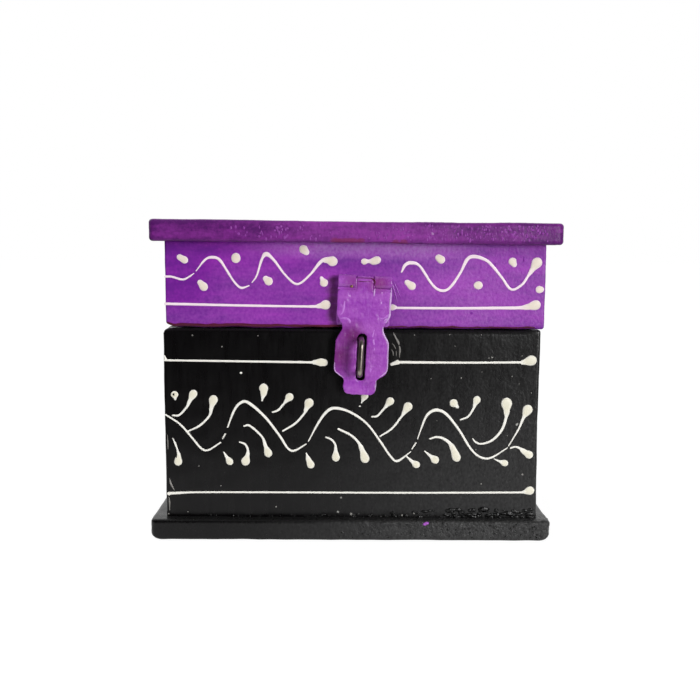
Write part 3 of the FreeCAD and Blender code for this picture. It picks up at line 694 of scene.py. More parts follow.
# %% [markdown]
# A thin coat lifts the painted faces and covers the heads of the pins that hold the boards. Faces on
# the seam get no coat and only ever move inward, so the lid keeps its hair of a gap and the seam
# comes out a little wavy, as it is on the real box. Each board keeps its two values per point for
# the enamel to read, and stands for its CAD node.

# %% Painted boards
COAT = 0.1
PLAIN = (1.7, 1.7, 1.7)


def mesh_piece(name, points_mm, faces, material):
    """A new smooth object in the shared frame from points in millimetres."""
    mesh = bpy.data.meshes.new(name)
    mesh.from_pydata([tuple(p) for p in np.asarray(points_mm) * MM], [], faces)
    mesh.materials.append(material)
    mesh.update()
    mesh.shade_smooth()
    piece = bpy.data.objects.new(name, mesh)
    bpy.context.scene.collection.objects.link(piece)
    return piece


def keep_values(piece, name, values):
    """Stores one number per point, for the material to read."""
    piece.data.attributes.new(name, "FLOAT", "POINT").data.foreach_set("value", values)


def painted_board(node, body, material, rounding, seed, lumpy, haze_and_painted_light, warp, steps=PLAIN, bare=""):
    """A painted board that stands for its CAD node. Faces named in bare get no coat."""
    low, high = node_box(node)
    for axis, letter in enumerate("xyz"):
        low[axis] -= 0 if "-" + letter in bare else COAT
        high[axis] += 0 if "+" + letter in bare else COAT
    points, quads = box_grid(low, high, max(radius for radius, faces in rounding), steps)
    points = round_off(points, low, high, rounding)
    lumps = [lumpy(*p) for p in points]
    lift = np.array([paint_lie(p, seed, lump) for p, lump in zip(points, lumps)])
    moves = np.array([warp(*p) for p in points])
    piece = mesh_piece("painted_" + node, points, quads, material)
    points = points + np.array([v.normal for v in piece.data.vertices]) * lift[:, None] + moves
    if "-z" in bare:
        points[:, 2] = np.maximum(points[:, 2], low[2])
    if "+z" in bare:
        points[:, 2] = np.minimum(points[:, 2], high[2])
    piece.data.vertices.foreach_set("co", (points * MM).ravel())
    piece.data.update()
    keep_values(piece, "lumps", lumps)
    # The haze values also hold painted light and shade.
    keep_values(piece, "haze_and_painted_light", [haze_and_painted_light(*p) for p in points])
    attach(piece, body)
    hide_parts(node)
    return piece


print("coat of paint:", COAT, "mm")

# %% [markdown]
# The paint isn't the same all over. To the right it is lumpier and hazier, on the plinth most of all,
# and the back is plain. The haze also holds painted light and shade: sheen on the black to the right
# and towards the foot, and light and shade on the lid. These functions give the two values at a place
# in millimetres: lumps from 0, smooth, to 1, and haze from 0, the plain film, to 1, pale. Below 0 haze
# darkens the film. A mask painted on the mesh could hold them, but a function can be read and matched
# to the photograph patch by patch.

# %% Where the paint is lumpy and hazy, and where light and shade are painted


def plinth_lumps(x, y, z):
    """The plinth's front edge is lumpy, more so to the right."""
    return (0.2 + 0.8 * ramp(x, -30, 30)) * ramp(-y, 38, 44) * ramp(z, 0.2, 2)


def plinth_haze_and_sheen(x, y, z):
    """It also goes grey to the right: grey bloom, and painted sheen of the lamp on that side."""
    return 0.04 + 0.96 * ramp(x, -50, 40) * ramp(-y, 42, 49)


def top_lumps(x, y, z):
    """The top board's front edge is a little lumpy."""
    return (0.1 + 0.2 * ramp(x, -40, 45)) * ramp(-y, 42, 47)


def top_haze(x, y, z):
    """The top board is palest in the middle and darker towards both ends."""
    return -0.24 + 0.56 * ramp(x, -60, -5) - 0.42 * ramp(x, 15, 55)


def wall_spread(x, y, z):
    """How much haze and painted sheen the tray has: it grows to the right and downward on the front."""
    return ramp(x, -30, 60) * (0.5 + 0.5 * ramp(-z, -66, -20)) * ramp(-y, 42, 45)


def wall_lumps(x, y, z):
    """The tray's walls are lumpy where they are hazy."""
    return 0.28 * wall_spread(x, y, z)


def wall_haze_and_sheen(x, y, z):
    """The tray's walls go grey there: a grey bloom, and painted sheen of the lamp and of the floor."""
    return 0.01 + 0.66 * wall_spread(x, y, z)


def rail_lumps(x, y, z):
    """The lid's front is a little lumpy to the right."""
    return 0.22 * ramp(x, -30, 60) * ramp(-y, 42, 45)


def rail_painted_light_and_shade(x, y, z):
    """Painted light and shade on the lid: paler low down, to the right and under the overhang in the
    middle, and darker high on the left and along the lower edge.
    """
    low_down = 0.17 * ramp(-z, -103, -90) - 0.3 * ramp(-x, 42, 60) * ramp(z, 78, 88)
    right = 0.32 * ramp(x, -10, 60) - 0.22 * ramp(x, 38, 58)
    under_top = 0.98 * ramp(z, 97, 102.5) * ramp(x, -46, -8) * ramp(-x, -48, -20)
    return (0.02 + low_down + (right + under_top) * ramp(-y, 42, 45)) * ramp(z, 75, 76.4)


print("haze at the plinth's two ends:", plinth_haze_and_sheen(-70, -50, 3), plinth_haze_and_sheen(70, -50, 3))

# %% [markdown]
# Boards that were sawn and planed by hand aren't true either. Each kind has its own small warp, as
# a move in millimetres at a place. A lattice could bend the boards too, but here each move has its
# reason beside it. They stay within a millimetre and a half of the CAD board, which keeps the plain
# planned shape.

# %% Warps


def plinth_warp(x, y, z):
    """The plinth's ends are rounded off more below, where it was handled, and swell a little."""
    end = max(0.0, abs(x) - 66) / 4
    swell = -0.4 * ramp(-x, 60, 69) if x < 0 else 0.25 * ramp(x, 60, 69)
    return (swell, 0, 1.5 * min(1.0, end) ** 2 * ramp(-z, -3.5, 0))


def top_warp(x, y, z):
    """The top board is thicker than planned: up at the left, down under the overhang at the right."""
    longer = 0.6 * ramp(x, 60, 69) - 0.2 * ramp(-x, 60, 69)
    if z > 108:
        return (longer, 0, 0.45 * ramp(-x, -10, 60) - 0.18)
    return (longer, 0, -0.4 * ramp(x, -20, 55) * ramp(-y, 46.5, 48))


def tray_warp(x, y, z):
    """The tray is a little wider at the foot of its right end, whose upper corner is less worn."""
    return (0.55 * ramp(x, 30, 64) * ramp(-z, -42, -6), 0, 1.1 * ramp(x, 60, 64.5) * ramp(z, 70, 73))


def lid_warp(x, y, z):
    """The lid's lower edge was cut by hand and wanders, and its left corner is worn round."""
    wander = 0.55 * max(0.0, noise.noise(Vector((x / 9, y / 9, 3.0))) + 0.25)
    return (0, 0, (wander + 0.9 * ramp(-x, 61.5, 65)) * ramp(77.5 - z, 0, 2.5))


print("the plinth's right end swells by", plinth_warp(70, 0, 3)[0], "mm")

# %% [markdown]
# The two wide boards are rounded all round. A long wall is rounded where it shows: at the box's
# corners and along the seam. A short wall is butted between the long ones, so only its seam edge
# is rounded. Every other edge is hidden in a joint and is left nearly sharp. The fronts get a finer
# grid, because the camera is close to them.

# %% Ten boards
FINE = (0.8, 1.7, 0.7)
WALL_EDGE = 2.0
RAIL_EDGE = 1.0
BOX_CORNER = 0.8
TIGHT = 0.25
PLINTH = [(2.2, "-x+x-y+y"), (0.5, "-z"), (0.9, "+z")]
TOP = [(2.2, "-x+x-y+y"), (1.2, "-z+z")]
OUTER_FACE = {"front": "-y", "back": "+y", "left": "-x", "right": "+x"}
OPPOSITE = {"-y": "+y", "+y": "-y", "-x": "+x", "+x": "-x"}

boards = [
    painted_board("bottom_board", "base", black_enamel, PLINTH, 1,
                  plinth_lumps, plinth_haze_and_sheen, plinth_warp, FINE, bare="-z"),
    painted_board("top_board", "lid", top_enamel, TOP, 2,
                  top_lumps, top_haze, top_warp, FINE),
]
for number, (side, face) in enumerate(OUTER_FACE.items()):
    if face[1] == "y":
        shown, hidden = "-x+x" + face, OPPOSITE[face]
    else:
        shown, hidden = face, OPPOSITE[face] + "-y+y"
    wall = [(BOX_CORNER, shown), (WALL_EDGE, "+z"), (TIGHT, hidden + "-z")]
    rail = [(BOX_CORNER, shown), (RAIL_EDGE, "-z"), (TIGHT, hidden + "+z")]
    steps = FINE if side == "front" else PLAIN
    boards.append(painted_board(f"{side}_wall", "base", black_enamel, wall, 3 + number,
                                wall_lumps, wall_haze_and_sheen, tray_warp, steps, bare="+z"))
    boards.append(painted_board(f"lid_{side}_rail", "lid", purple_enamel, rail, 7 + number,
                                rail_lumps, rail_painted_light_and_shade, lid_warp, steps, bare="-z"))
print("boards:", len(boards), "faces:", sum(len(board.data.polygons) for board in boards))

# %% [markdown]
# A piped stroke starts as a thin tail and ends in a round head, because the cone is held still for
# a moment before it is lifted, and on a long vine it swells at the top of each wave. A bevelled
# curve could do that, but its section would be round. So a stroke is a list of knots, each with its
# place across and up the face and half its width there, all in millimetres. First comes a smooth
# path through the knots.

# %% Path of a stroke
PATH_STEP = 0.35
CURVE_STEPS = 20
CAP_TURNS = (20, 40, 58, 73, 84, 89)
DROP_LENGTH = 0.1


def curve_through(knots):
    """A fine smooth curve through the knots. Widths go evenly from one knot to the next."""
    ends = [2 * knots[0] - knots[1], *knots, 2 * knots[-1] - knots[-2]]
    fine = []
    for before, start, stop, after in zip(ends, ends[1:], ends[2:], ends[3:]):
        for t in np.linspace(0, 1, CURVE_STEPS, endpoint=False):
            spot = ((2 * t**3 - 3 * t**2 + 1) * start + (t**3 - 2 * t**2 + t) * (stop - before) / 2
                    + (3 * t**2 - 2 * t**3) * stop + (t**3 - t**2) * (after - start) / 2)
            spot[2] = start[2] + (stop[2] - start[2]) * (3 * t**2 - 2 * t**3)
            fine.append(spot)
    return np.array([*fine, knots[-1]])


def round_cap(knot, way):
    """Rows of a round end beyond a knot, from wide to a point."""
    way = way[:2] / np.linalg.norm(way[:2])
    return [[*(knot[:2] + way * knot[2] * sin(turn)), knot[2] * cos(turn)] for turn in np.radians(CAP_TURNS)]


def smooth_path(knots):
    """Evenly spaced (across, up, half width) on a smooth curve through the knots, capped round."""
    knots = np.array(knots, float)
    if len(knots) == 1:
        half_drop = (DROP_LENGTH / 2, 0, 0)
        knots = np.array([knots[0] - half_drop, knots[0] + half_drop])
    fine = curve_through(knots)
    first_cap = round_cap(fine[0], fine[0] - fine[1])
    last_cap = round_cap(fine[-1], fine[-1] - fine[-2])
    run = np.concatenate([[0], np.cumsum(np.linalg.norm(np.diff(fine[:, :2], axis=0), axis=1))])
    even = np.linspace(0, run[-1], max(3, int(run[-1] / PATH_STEP)))
    middle = np.column_stack([np.interp(even, run, fine[:, k]) for k in range(3)])
    return np.array([*first_cap[::-1], *middle, *last_cap])


print("rows on a 10 mm stroke:", len(smooth_path([(0, 0, 0.5), (10, 0, 0.5)])))

# %% [markdown]
# The stroke's section is a low flat-topped bead that sinks a little into the wall. Rings of that
# section are set along the path and joined. The hand that squeezed the cone wasn't steady, so the
# width wavers a little. Each point also keeps its "body": how thick the paint is there.

# %% Piped strokes
RING_POINTS = 14
BEAD_HEIGHT = 0.34
BEAD_FLATNESS = 0.7
BEAD_SINK = 0.3
BEAD_TRIM = 0.03
WAVER = 0.08
WAVER_SIZE = 1.9


def stroke_mesh(knots):
    """Points as (across the face, up, out of the face), faces and body values of one stroke."""
    path = smooth_path(knots)
    ahead = np.gradient(path[:, :2], axis=0)
    ahead /= np.linalg.norm(ahead, axis=1)[:, None]
    verts, faces, body = [], [], []
    for (across, up, width), (run_x, run_z) in zip(path, ahead):
        height = BEAD_HEIGHT * width**0.5
        uneven = 1 + WAVER * noise.noise(Vector((across / WAVER_SIZE, up / WAVER_SIZE, 0.0)))
        for step in range(RING_POINTS):
            turn = 2 * pi * step / RING_POINTS
            rise = height * sin(turn) ** BEAD_FLATNESS if sin(turn) > 0 else BEAD_SINK * sin(turn)
            side = max(width - BEAD_TRIM, 0.9 * width) * uneven * cos(turn)
            verts.append((across - run_z * side, up + run_x * side, rise))
            body.append(ramp(width, 0.5, 1.3) * ramp(sin(turn), 0.2, 0.85))
    last = (len(path) - 1) * RING_POINTS
    for ring in range(0, last, RING_POINTS):
        for step in range(RING_POINTS):
            after = (step + 1) % RING_POINTS
            faces.append([ring + step, ring + RING_POINTS + step, ring + RING_POINTS + after, ring + after])
    faces.append(list(range(RING_POINTS)))
    faces.append([last + step for step in reversed(range(RING_POINTS))])
    return verts, faces, body


def piped(name, body_name, material, strokes, to_space):
    """One piece of ornament from many strokes, laid on a face by to_space."""
    verts, faces, body = [], [], []
    for knots in strokes:
        more, quads, thick = stroke_mesh(knots)
        faces += [[len(verts) + corner for corner in quad] for quad in quads]
        verts += more
        body += thick
    piece = mesh_piece(name, [to_space(*v) for v in verts], faces, material)
    shape = bmesh.new()
    shape.from_mesh(piece.data)
    bmesh.ops.recalc_face_normals(shape, faces=shape.faces)
    shape.to_mesh(piece.data)
    shape.free()
    keep_values(piece, "body", body)
    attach(piece, body_name)
    return piece


print("points on one short stroke:", len(stroke_mesh([(0, 0, 0.4), (2, 1, 1.5)])[0]))

# %% [markdown]
# A sprig is the commonest stroke: a thin tail, one or two bends, a neck and a head. A dot is a head
# alone, pulled aside by the lifted cone. Two functions write these, so that only the places and
# the head's size are left to give.

# %% Sprigs and dots
THIN = 0.31
STEM = 0.41
NECK_AWAY = 1.9
NECK_WIDTH = 0.46


def sprig(head, *way):
    """A sprig through the places in way, ending in a head of the given radius."""
    places = np.array(way, float)
    back = places[-2] - places[-1]
    length = np.linalg.norm(back)
    neck = places[-1] + back / length * min(head * NECK_AWAY, 0.6 * length)
    widths = [THIN] + [STEM] * (len(places) - 2)
    knots = [(*place, width) for place, width in zip(places, widths)]
    return [*knots, (*neck, NECK_WIDTH * head), (*places[-1], head)]


def dot(x, z, radius, pull_x=0.3, pull_z=0.0, tail=0.9):
    """A dot pulled towards one side. Its far end has the share tail of its radius."""
    return [(x + pull_x, z + pull_z, radius * tail), (x, z, radius)]


print("knots of a sprig through three places:", len(sprig(1.5, (0, 0), (3, 1), (5, 4))))

# %% [markdown]
# These are the strokes of the lid's front, as they are on the box: one wave on each side of the
# hasp with a dot in every hollow, above a line. A formula could draw even waves, but a hand drew
# these, so each keeps its own knots. The first wave is in three pieces, where the paint ran thin.

# %% Strokes of the lid's front
lid_waves = [
    [(-64.4, 92.3, 0.43), (-62.2, 92.2, 0.41), (-58.6, 91.3, 0.38), (-56.3, 92.3, 0.33), (-54.7, 93.4, 0.18)],
    [(-53.9, 94.3, 0.18), (-50.7, 98.2, 0.43), (-48, 99, 0.54), (-45.8, 98.1, 0.54), (-43.6, 94.9, 0.41),
     (-41, 90.8, 0.38), (-38.6, 88.6, 0.43), (-35.8, 89.3, 0.25)],
    [(-34.7, 90.5, 0.2), (-33.1, 92.8, 0.33), (-31.4, 98.2, 0.45), (-29.8, 100.2, 0.83), (-27.2, 98.2, 0.49),
     (-23.2, 93, 0.39), (-19.2, 90, 0.41), (-15, 93, 0.39), (-11.2, 97.6, 0.61), (-9.2, 98.3, 1.05),
     (-7, 97.9, 1.75)],
    [(16.8, 94.5, 0.33), (18, 96.8, 0.6), (20, 97.6, 0.68), (23, 96.5, 0.48), (27.4, 90.2, 0.46),
     (30.6, 88.1, 0.52), (33.6, 89.2, 0.48), (37, 94.2, 0.46), (39.4, 99, 0.66), (42, 99.9, 0.68),
     (45.8, 98.7, 0.55), (48.2, 96.6, 0.55), (51.4, 92.8, 0.46), (54.8, 88.7, 0.46), (58.4, 90.3, 0.46),
     (60.4, 93.2, 0.5), (61.8, 95.4, 0.9), (63.4, 97.9, 1.9)],
]
lid_lines = [
    [(-64.5, 82.9, 0.51), (-40, 82.5, 0.46), (-19, 82.3, 0.44), (-13.4, 82.3, 0.51), (-11.5, 82.5, 0.9),
     (-9.3, 82.9, 1.72)],
    [(13.8, 82.2, 1.15), (15.4, 82.1, 0.57), (17, 82, 0.46), (36, 82, 0.49), (50, 82.2, 0.55),
     (57.4, 82.3, 0.64), (60.4, 82.6, 1), (63.4, 83.3, 1.82)],
]
lid_dots = [
    [(-59.4, 98.9, 1.1), (-57.8, 98, 1.25)],
    dot(-40.2, 98.9, 1.65, 0, -0.2, 1.0),
    dot(-51.4, 88.9, 1.55, -1.1, 1.3, 0.7),
    dot(-29.1, 91, 1.6, -0.9, 0.8, 0.62),
    dot(-17, 101.9, 1.55, 0.9, -0.9, 0.72),
    dot(-10, 90.6, 1.52, -0.8, 1.5, 0.42),
    [(3.9, 97.9, 1.15), (5.4, 98, 0.66), (7, 98, 1.3), (8.2, 98.4, 1.45)],
    dot(20.4, 89.6, 1.45, -1.6, 1.2, 0.7),
    dot(30.3, 98.8, 1.45, -0.7, 0.5, 0.95),
    dot(43.4, 90, 1.5, -0.3, 0, 0.9),
    dot(55, 98.2, 1.45, 0.5, -0.8, 0.75),
    dot(64.6, 88.7, 1.35, 0.4, 0, 0.9),
]
lid_strokes = lid_waves + lid_lines + lid_dots
print("strokes on the lid's front:", len(lid_strokes))

# %% [markdown]
# On the tray one long vine runs across, in pieces where the paint ran thin, between two lines. Each
# line ends in a bulb, and the upper one breaks off at the hasp.

# %% Lines and vine of the tray's front
tray_lines = [
    [(-65.2, 63.2, 0.38), (-40, 63, 0.4), (-16.4, 62.8, 0.44), (-13.6, 62.8, 0.8), (-11, 62.8, 1.42),
     (-9.8, 62.7, 1.3)],
    [(-65.3, 64.8, 0.2), (-64.9, 63.5, 0.5)],
    [(13.8, 62.3, 0.59), (16.2, 63.1, 0.9), (17.6, 63, 0.5), (40, 63, 0.41), (57.2, 63.2, 0.43),
     (59.4, 63.2, 0.85), (62.7, 63.9, 1.8)],
    [(-64.6, 15.4, 0.7), (-62.4, 15.6, 0.5), (-47.6, 16, 0.37), (20, 16.1, 0.38), (57.4, 16.4, 0.42),
     (61, 16.5, 0.62), (63.6, 17.1, 1.62)],
]
tray_vine = [
    [(-65.3, 43.9, 0.33), (-60.3, 40.5, 0.38), (-56, 35.5, 0.38), (-53, 31.9, 0.4), (-50.5, 31.3, 0.37),
     (-46.2, 34, 0.29)],
    [(-45.4, 35.5, 0.23), (-44.5, 37.1, 0.32)],
    [(-43.6, 39.6, 0.27), (-41.3, 45.5, 0.43), (-39, 48.3, 0.51), (-36.2, 48.3, 0.56), (-30.4, 43.2, 0.48),
     (-25.4, 36.6, 0.43), (-22.4, 32, 0.41), (-20, 31.3, 0.41), (-16.1, 33.6, 0.27)],
    [(-15.2, 34.7, 0.23), (-11.6, 41.5, 0.43), (-8.6, 45.5, 0.54), (-5.6, 46.6, 0.56), (-0.4, 45.1, 0.46),
     (5.4, 41, 0.41), (10.3, 34.5, 0.4), (13.8, 29.4, 0.4), (16.4, 27.7, 0.45), (20.9, 31, 0.23)],
    [(21.4, 32.1, 0.23), (22.7, 34.2, 0.3)],
    [(23.3, 35.8, 0.23), (25.6, 42.5, 0.41), (27.2, 45, 0.54), (29.8, 46.1, 0.59), (33.2, 44.7, 0.54),
     (37.7, 39.3, 0.45), (42.3, 32.1, 0.41), (46, 29.1, 0.41), (49.6, 29.1, 0.4), (55.1, 32.6, 0.25)],
    [(55.6, 33.4, 0.23), (58.9, 39.4, 0.36), (60.3, 43, 0.51), (61.9, 46.4, 1.8)],
]
print("lines and pieces of vine on the tray's front:", len(tray_lines) + len(tray_vine))

# %% [markdown]
# Sprigs grow above and below the vine, three and four to a wave. Those that bend only once are
# written with `sprig`, and the others give their own knots. One small drop fell by itself.

# %% Sprigs of the tray's front
stray_drop = [(-38.8, 58.9, 0.4)]
tray_sprigs_above = [
    [(-61.8, 49.4, 0.33), (-62, 50.9, 1.45)],
    sprig(1.5, (-62.8, 43.7), (-60.6, 43.8), (-58, 46.5), (-55.5, 51.4)),
    sprig(1.6, (-57.6, 38), (-53.4, 40.1), (-50, 43.6), (-48.5, 49.4)),
    [(-31.5, 49.2, 0.33), (-30.9, 51.9, 1.2), (-30.9, 53.6, 1.6)],
    sprig(1.5, (-27.8, 45), (-25.8, 45.8), (-23.9, 48), (-21.9, 50.4)),
    sprig(1.65, (-24.2, 38.3), (-19.8, 41.1), (-16.8, 44.5), (-15, 48.4)),
    [(3.4, 48.6, 0.29), (4.5, 51, 1.34)],
    [(2.8, 47.3, 0.27)],
    sprig(1.5, (7.1, 43.6), (9, 43.9), (11.2, 46.4), (13.4, 49.1)),
    sprig(1.65, (10.1, 36.6), (14.2, 39.4), (17.4, 43.6), (19.7, 47.2)),
    dot(35.8, 48.6, 1.5, 1.3, -1.3, 0.4),
    sprig(1.4, (38.4, 42.7), (41, 43.9), (42.7, 46.6), (43.9, 49.8)),
    [(42.8, 35.8, 0.23), (44.1, 34.5, 0.34), (46.4, 34.1, 0.4), (50, 35.6, 0.46), (53, 39.2, 0.5),
     (54.3, 43.2, 0.56), (54.5, 45.8, 1.15), (54.4, 48.6, 2.05)],
]
tray_sprigs_below = [
    [(-62.9, 35.4, 0.17), (-62.1, 33.5, 0.41), (-61.4, 31.4, 0.32), (-61.1, 29.2, 0.95), (-61.2, 27.1, 1.5)],
    [(-45, 30.5, 0.27), (-44.1, 28.9, 0.59), (-43, 27.2, 1.35)],
    [(-39.4, 34.2, 0.33), (-37.6, 33.5, 0.4), (-36.6, 31.6, 0.41), (-36.7, 29.6, 0.78), (-37.4, 27.4, 1.65)],
    sprig(1.5, (-37.8, 40), (-35.8, 40.1), (-31.6, 36.2), (-29.4, 30.3)),
    [(-15.9, 30.2, 0.3), (-15.2, 28.1, 0.95), (-14.4, 26.2, 1.4)],
    [(-9, 36.1, 0.33), (-7.2, 35.4, 0.41), (-5.8, 33.6, 0.41), (-5.6, 31.8, 0.56), (-5.5, 28.9, 1.5)],
    [(-4.6, 39.1, 0.41), (-0.4, 37, 0.43), (2.2, 34.6, 0.48), (3.6, 32, 0.88), (4.8, 28.5, 1.62)],
    [(19.4, 29.5, 0.29), (21.2, 27.8, 0.54), (23, 26.4, 1.35)],
    [(25.9, 31.3, 0.23), (27.8, 29.7, 0.54), (29.6, 28.2, 1.5)],
    [(27.7, 35.8, 0.32), (29.9, 36.4, 0.41), (32.1, 36, 0.5), (34.4, 34.5, 0.59), (35.8, 32.5, 1.05),
     (37.2, 29.1, 1.6)],
    [(50.6, 28.6, 0.19), (52.2, 27.9, 0.41), (54.4, 27.1, 1.26)],
    [(56.4, 32.6, 0.33), (57.8, 33, 0.36), (59.4, 32.6, 0.43), (61, 31.4, 1), (62.9, 30.2, 1.45)],
]
tray_strokes = tray_lines + tray_vine + [stray_drop] + tray_sprigs_above + tray_sprigs_below
print("strokes on the tray's front:", len(tray_strokes))

# %% [markdown]
# The sides carry the same bands. They are out of sight in the photograph, apart from beads that
# stand out past the left corner, so there the front's motif is repeated at an even pitch: a vine
# that tops out at each crest, with a dot and two sprigs above it and three strokes below. On the
# lid's sides a plain sine makes the wave.

# %% Strokes of the sides
PITCH = 30.5
CRESTS = (-30, -30 + PITCH)
SIDE_START = -39
WAVE_KNOTS = 33
WAVE_STEP = 2.25
WAVE_LENGTH = 8.6 * WAVE_STEP
WAVE_RISE = 4.8


def side_tray_strokes():
    """Two lines, and a vine with its sprigs."""
    made = [[(SIDE_START, 63, 0.6), (33, 63, 0.6), (38.4, 63.4, 1.7)],
            [(SIDE_START, 16, 0.5), (33, 16.2, 0.5), (38.4, 16.6, 1.6)]]
    vine = [(-39.6, 36.5, 0.45)]
    for crest in CRESTS:
        vine += [(crest - 7, 39, 0.46), (crest - 3, 45.4, 0.58), (crest, 47, 0.7), (crest + 4, 45.2, 0.64),
                 (crest + 11, 36.4, 0.54), (crest + 15.5, 30.6, 0.5), (crest + 18.5, 30, 0.5)]
        made += [
            dot(crest + 4, 51.2, 1.5, 0.6, -1, 0.5),
            sprig(1.5, (crest + 8, 44), (crest + 10.2, 44.7), (crest + 14, 49.6)),
            sprig(1.6, (crest + 11.6, 37.6), (crest + 16, 40.6), (crest + 21, 47.6)),
            sprig(1.5, (crest - 0.4, 38.8), (crest + 4.6, 36.4), (crest + 8, 29.6)),
            [(crest - 3, 35, 0.42), (crest - 0.6, 33, 0.52), (crest - 0.2, 30.6, 0.75),
             (crest - 0.5, 27.6, 1.55)],
            [(crest + 13.6, 29.4, 0.36), (crest + 12.4, 27.6, 0.7), (crest + 11, 26, 1.4)],
        ]
    end = CRESTS[-1] + PITCH
    vine += [(end - 7, 38, 0.5), (end - 3, 44.6, 0.6), (end + 1, 46.6, 1.0), (end + 3.6, 46, 1.8)]
    return [*made, vine]


def side_lid_strokes():
    """A wave over a line, with a dot in every hollow."""
    wave, dots = [], []
    for number in range(WAVE_KNOTS):
        along = WAVE_STEP * number
        swing = sin(2 * pi * along / WAVE_LENGTH)
        wave.append((SIDE_START + along, 94.2 + WAVE_RISE * swing, 0.52 + 0.16 * swing))
    for number in range(4):
        dots.append(dot(SIDE_START + WAVE_LENGTH * (number + 0.25), 90, 1.5, 0.4, 0.4))
        if number < 3:
            dots.append(dot(SIDE_START + WAVE_LENGTH * (number + 0.75), 99, 1.5, 0.4, -0.4))
    line = [(SIDE_START, 82.4, 0.58), (30, 82.2, 0.56), (37.6, 82.8, 1.75)]
    return [[*wave, (36.4, 96.6, 1.7)], line, *dots]


print("strokes on each side:", len(side_tray_strokes()) + len(side_lid_strokes()))

# %% [markdown]
# A map lays a band of strokes on a board: it turns a place across, up and out of a face into a place
# in space. With one map for each face, the same strokes serve both sides, and the beads always sit
# on the wall that carries them. The left side has one bead more, close to the front corner, where
# it shows past the edge.

# %% Ornament pieces


def face_map(node, face):
    """The map from a stroke's (across, up, out) to space, on a board's outer face."""
    low, high = node_box(node)
    if face == "-y":
        return lambda across, up, out: (across, low[1] - COAT - out, up)
    if face == "-x":
        return lambda across, up, out: (low[0] - COAT - out, -across, up)
    warp = lid_warp if node.startswith("lid") else tray_warp
    return lambda across, up, out: (high[0] + COAT + out + warp(high[0], across, up)[0], across, up)


tray_face = face_map("front_wall", "-y")
lid_face = face_map("lid_front_rail", "-y")
corner_beads = {"left": [dot(42.4, 29.7, 1.3)], "right": []}
ornament = [
    piped("tray_front_ornament", "base", cream, tray_strokes, tray_face),
    piped("lid_front_ornament", "lid", cream_on_purple, lid_strokes, lid_face),
]
for side, beads in corner_beads.items():
    face = OUTER_FACE[side]
    ornament.append(piped(f"tray_{side}_ornament", "base", cream,
                          side_tray_strokes() + beads, face_map(f"{side}_wall", face)))
    ornament.append(piped(f"lid_{side}_ornament", "lid", cream_on_purple,
                          side_lid_strokes(), face_map(f"lid_{side}_rail", face)))
print("ornament pieces:", [piece.name for piece in ornament])

# %% [markdown]
# Paint that ran together dried in lumps. They gather in the joint between the tray and the plinth
# and on the plinth's front edge, most of them to the right. They stand proud and catch the light, so
# each is a small closed mesh: a ball with its points pushed in and out, made wide and flat. One seed
# serves all the lumps, so that every run gives the same ones.

# %% Lumps of paint
JOINT_LUMPS = 130
PLINTH_LUMPS = 90
SEED_STEP = 3.7


def lump(place, size, seed):
    """One uneven lump of paint: a ball with its points pushed in and out."""
    ball = bmesh.new()
    bmesh.ops.create_icosphere(ball, subdivisions=2, radius=1)
    points = []
    for vertex in ball.verts:
        push = 1 + 0.3 * noise.noise(vertex.co * 1.6 + Vector((seed, 0, 0)))
        points.append([place[k] + vertex.co[k] * size[k] * push for k in range(3)])
    faces = [[vertex.index for vertex in face.verts] for face in ball.faces]
    ball.free()
    return points, faces


def lump_piece(name, body, material, lumps):
    """One piece from many lumps, each given as its place and its size along x, y and z."""
    verts, faces = [], []
    for number, (place, size) in enumerate(lumps):
        points, corners = lump(place, size, SEED_STEP * number)
        faces += [[len(verts) + corner for corner in face] for face in corners]
        verts += points
    piece = mesh_piece(name, verts, faces, material)
    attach(piece, body)
    return piece


chance = np.random.default_rng(11)
plinth_top = node_box("bottom_board")[1][2]
plinth_front = node_box("bottom_board")[0][1]
joint_lumps = []
for number in range(JOINT_LUMPS):
    along = -62 + 127 * chance.random() ** 0.5
    much = ramp(along, -10, 50)
    size = chance.uniform(0.3, 0.62) * (0.7 + 0.8 * much)
    height = chance.random() ** 1.8 * (0.8 + 2.4 * much)
    place = (along, tray_front - COAT - 0.1 * size, plinth_top + COAT + 0.1 + height)
    extent = (size * chance.uniform(1, 2.4), 0.36 * size, size * chance.uniform(0.6, 1.1))
    joint_lumps.append((place, extent))
edge_lumps = []
for number in range(PLINTH_LUMPS):
    size = chance.uniform(0.2, 0.5)
    place = (66 - 72 * chance.random() ** 1.5, plinth_front - COAT, chance.uniform(0.8, 6.2))
    extent = (size * chance.uniform(0.8, 1.4), 0.5 * size, size * chance.uniform(0.7, 1.2))
    edge_lumps.append((place, extent))
lump_piece("joint_paint_lumps", "base", thick_enamel, joint_lumps)
lump_piece("plinth_paint_lumps", "base", thick_enamel, edge_lumps)
print("lumps in the joint:", len(joint_lumps), "and on the plinth's edge:", len(edge_lumps))

# %% [markdown]
# Some marks can be counted one by one on the real box, so each is given its own place: a fleck of
# purple that fell on the plinth, specks of dust in the black, two chips in the ornament where the
# black shows, and three dark purple marks where the lid has small dents, whose darkness is painted
# shade. They are small lumps too.

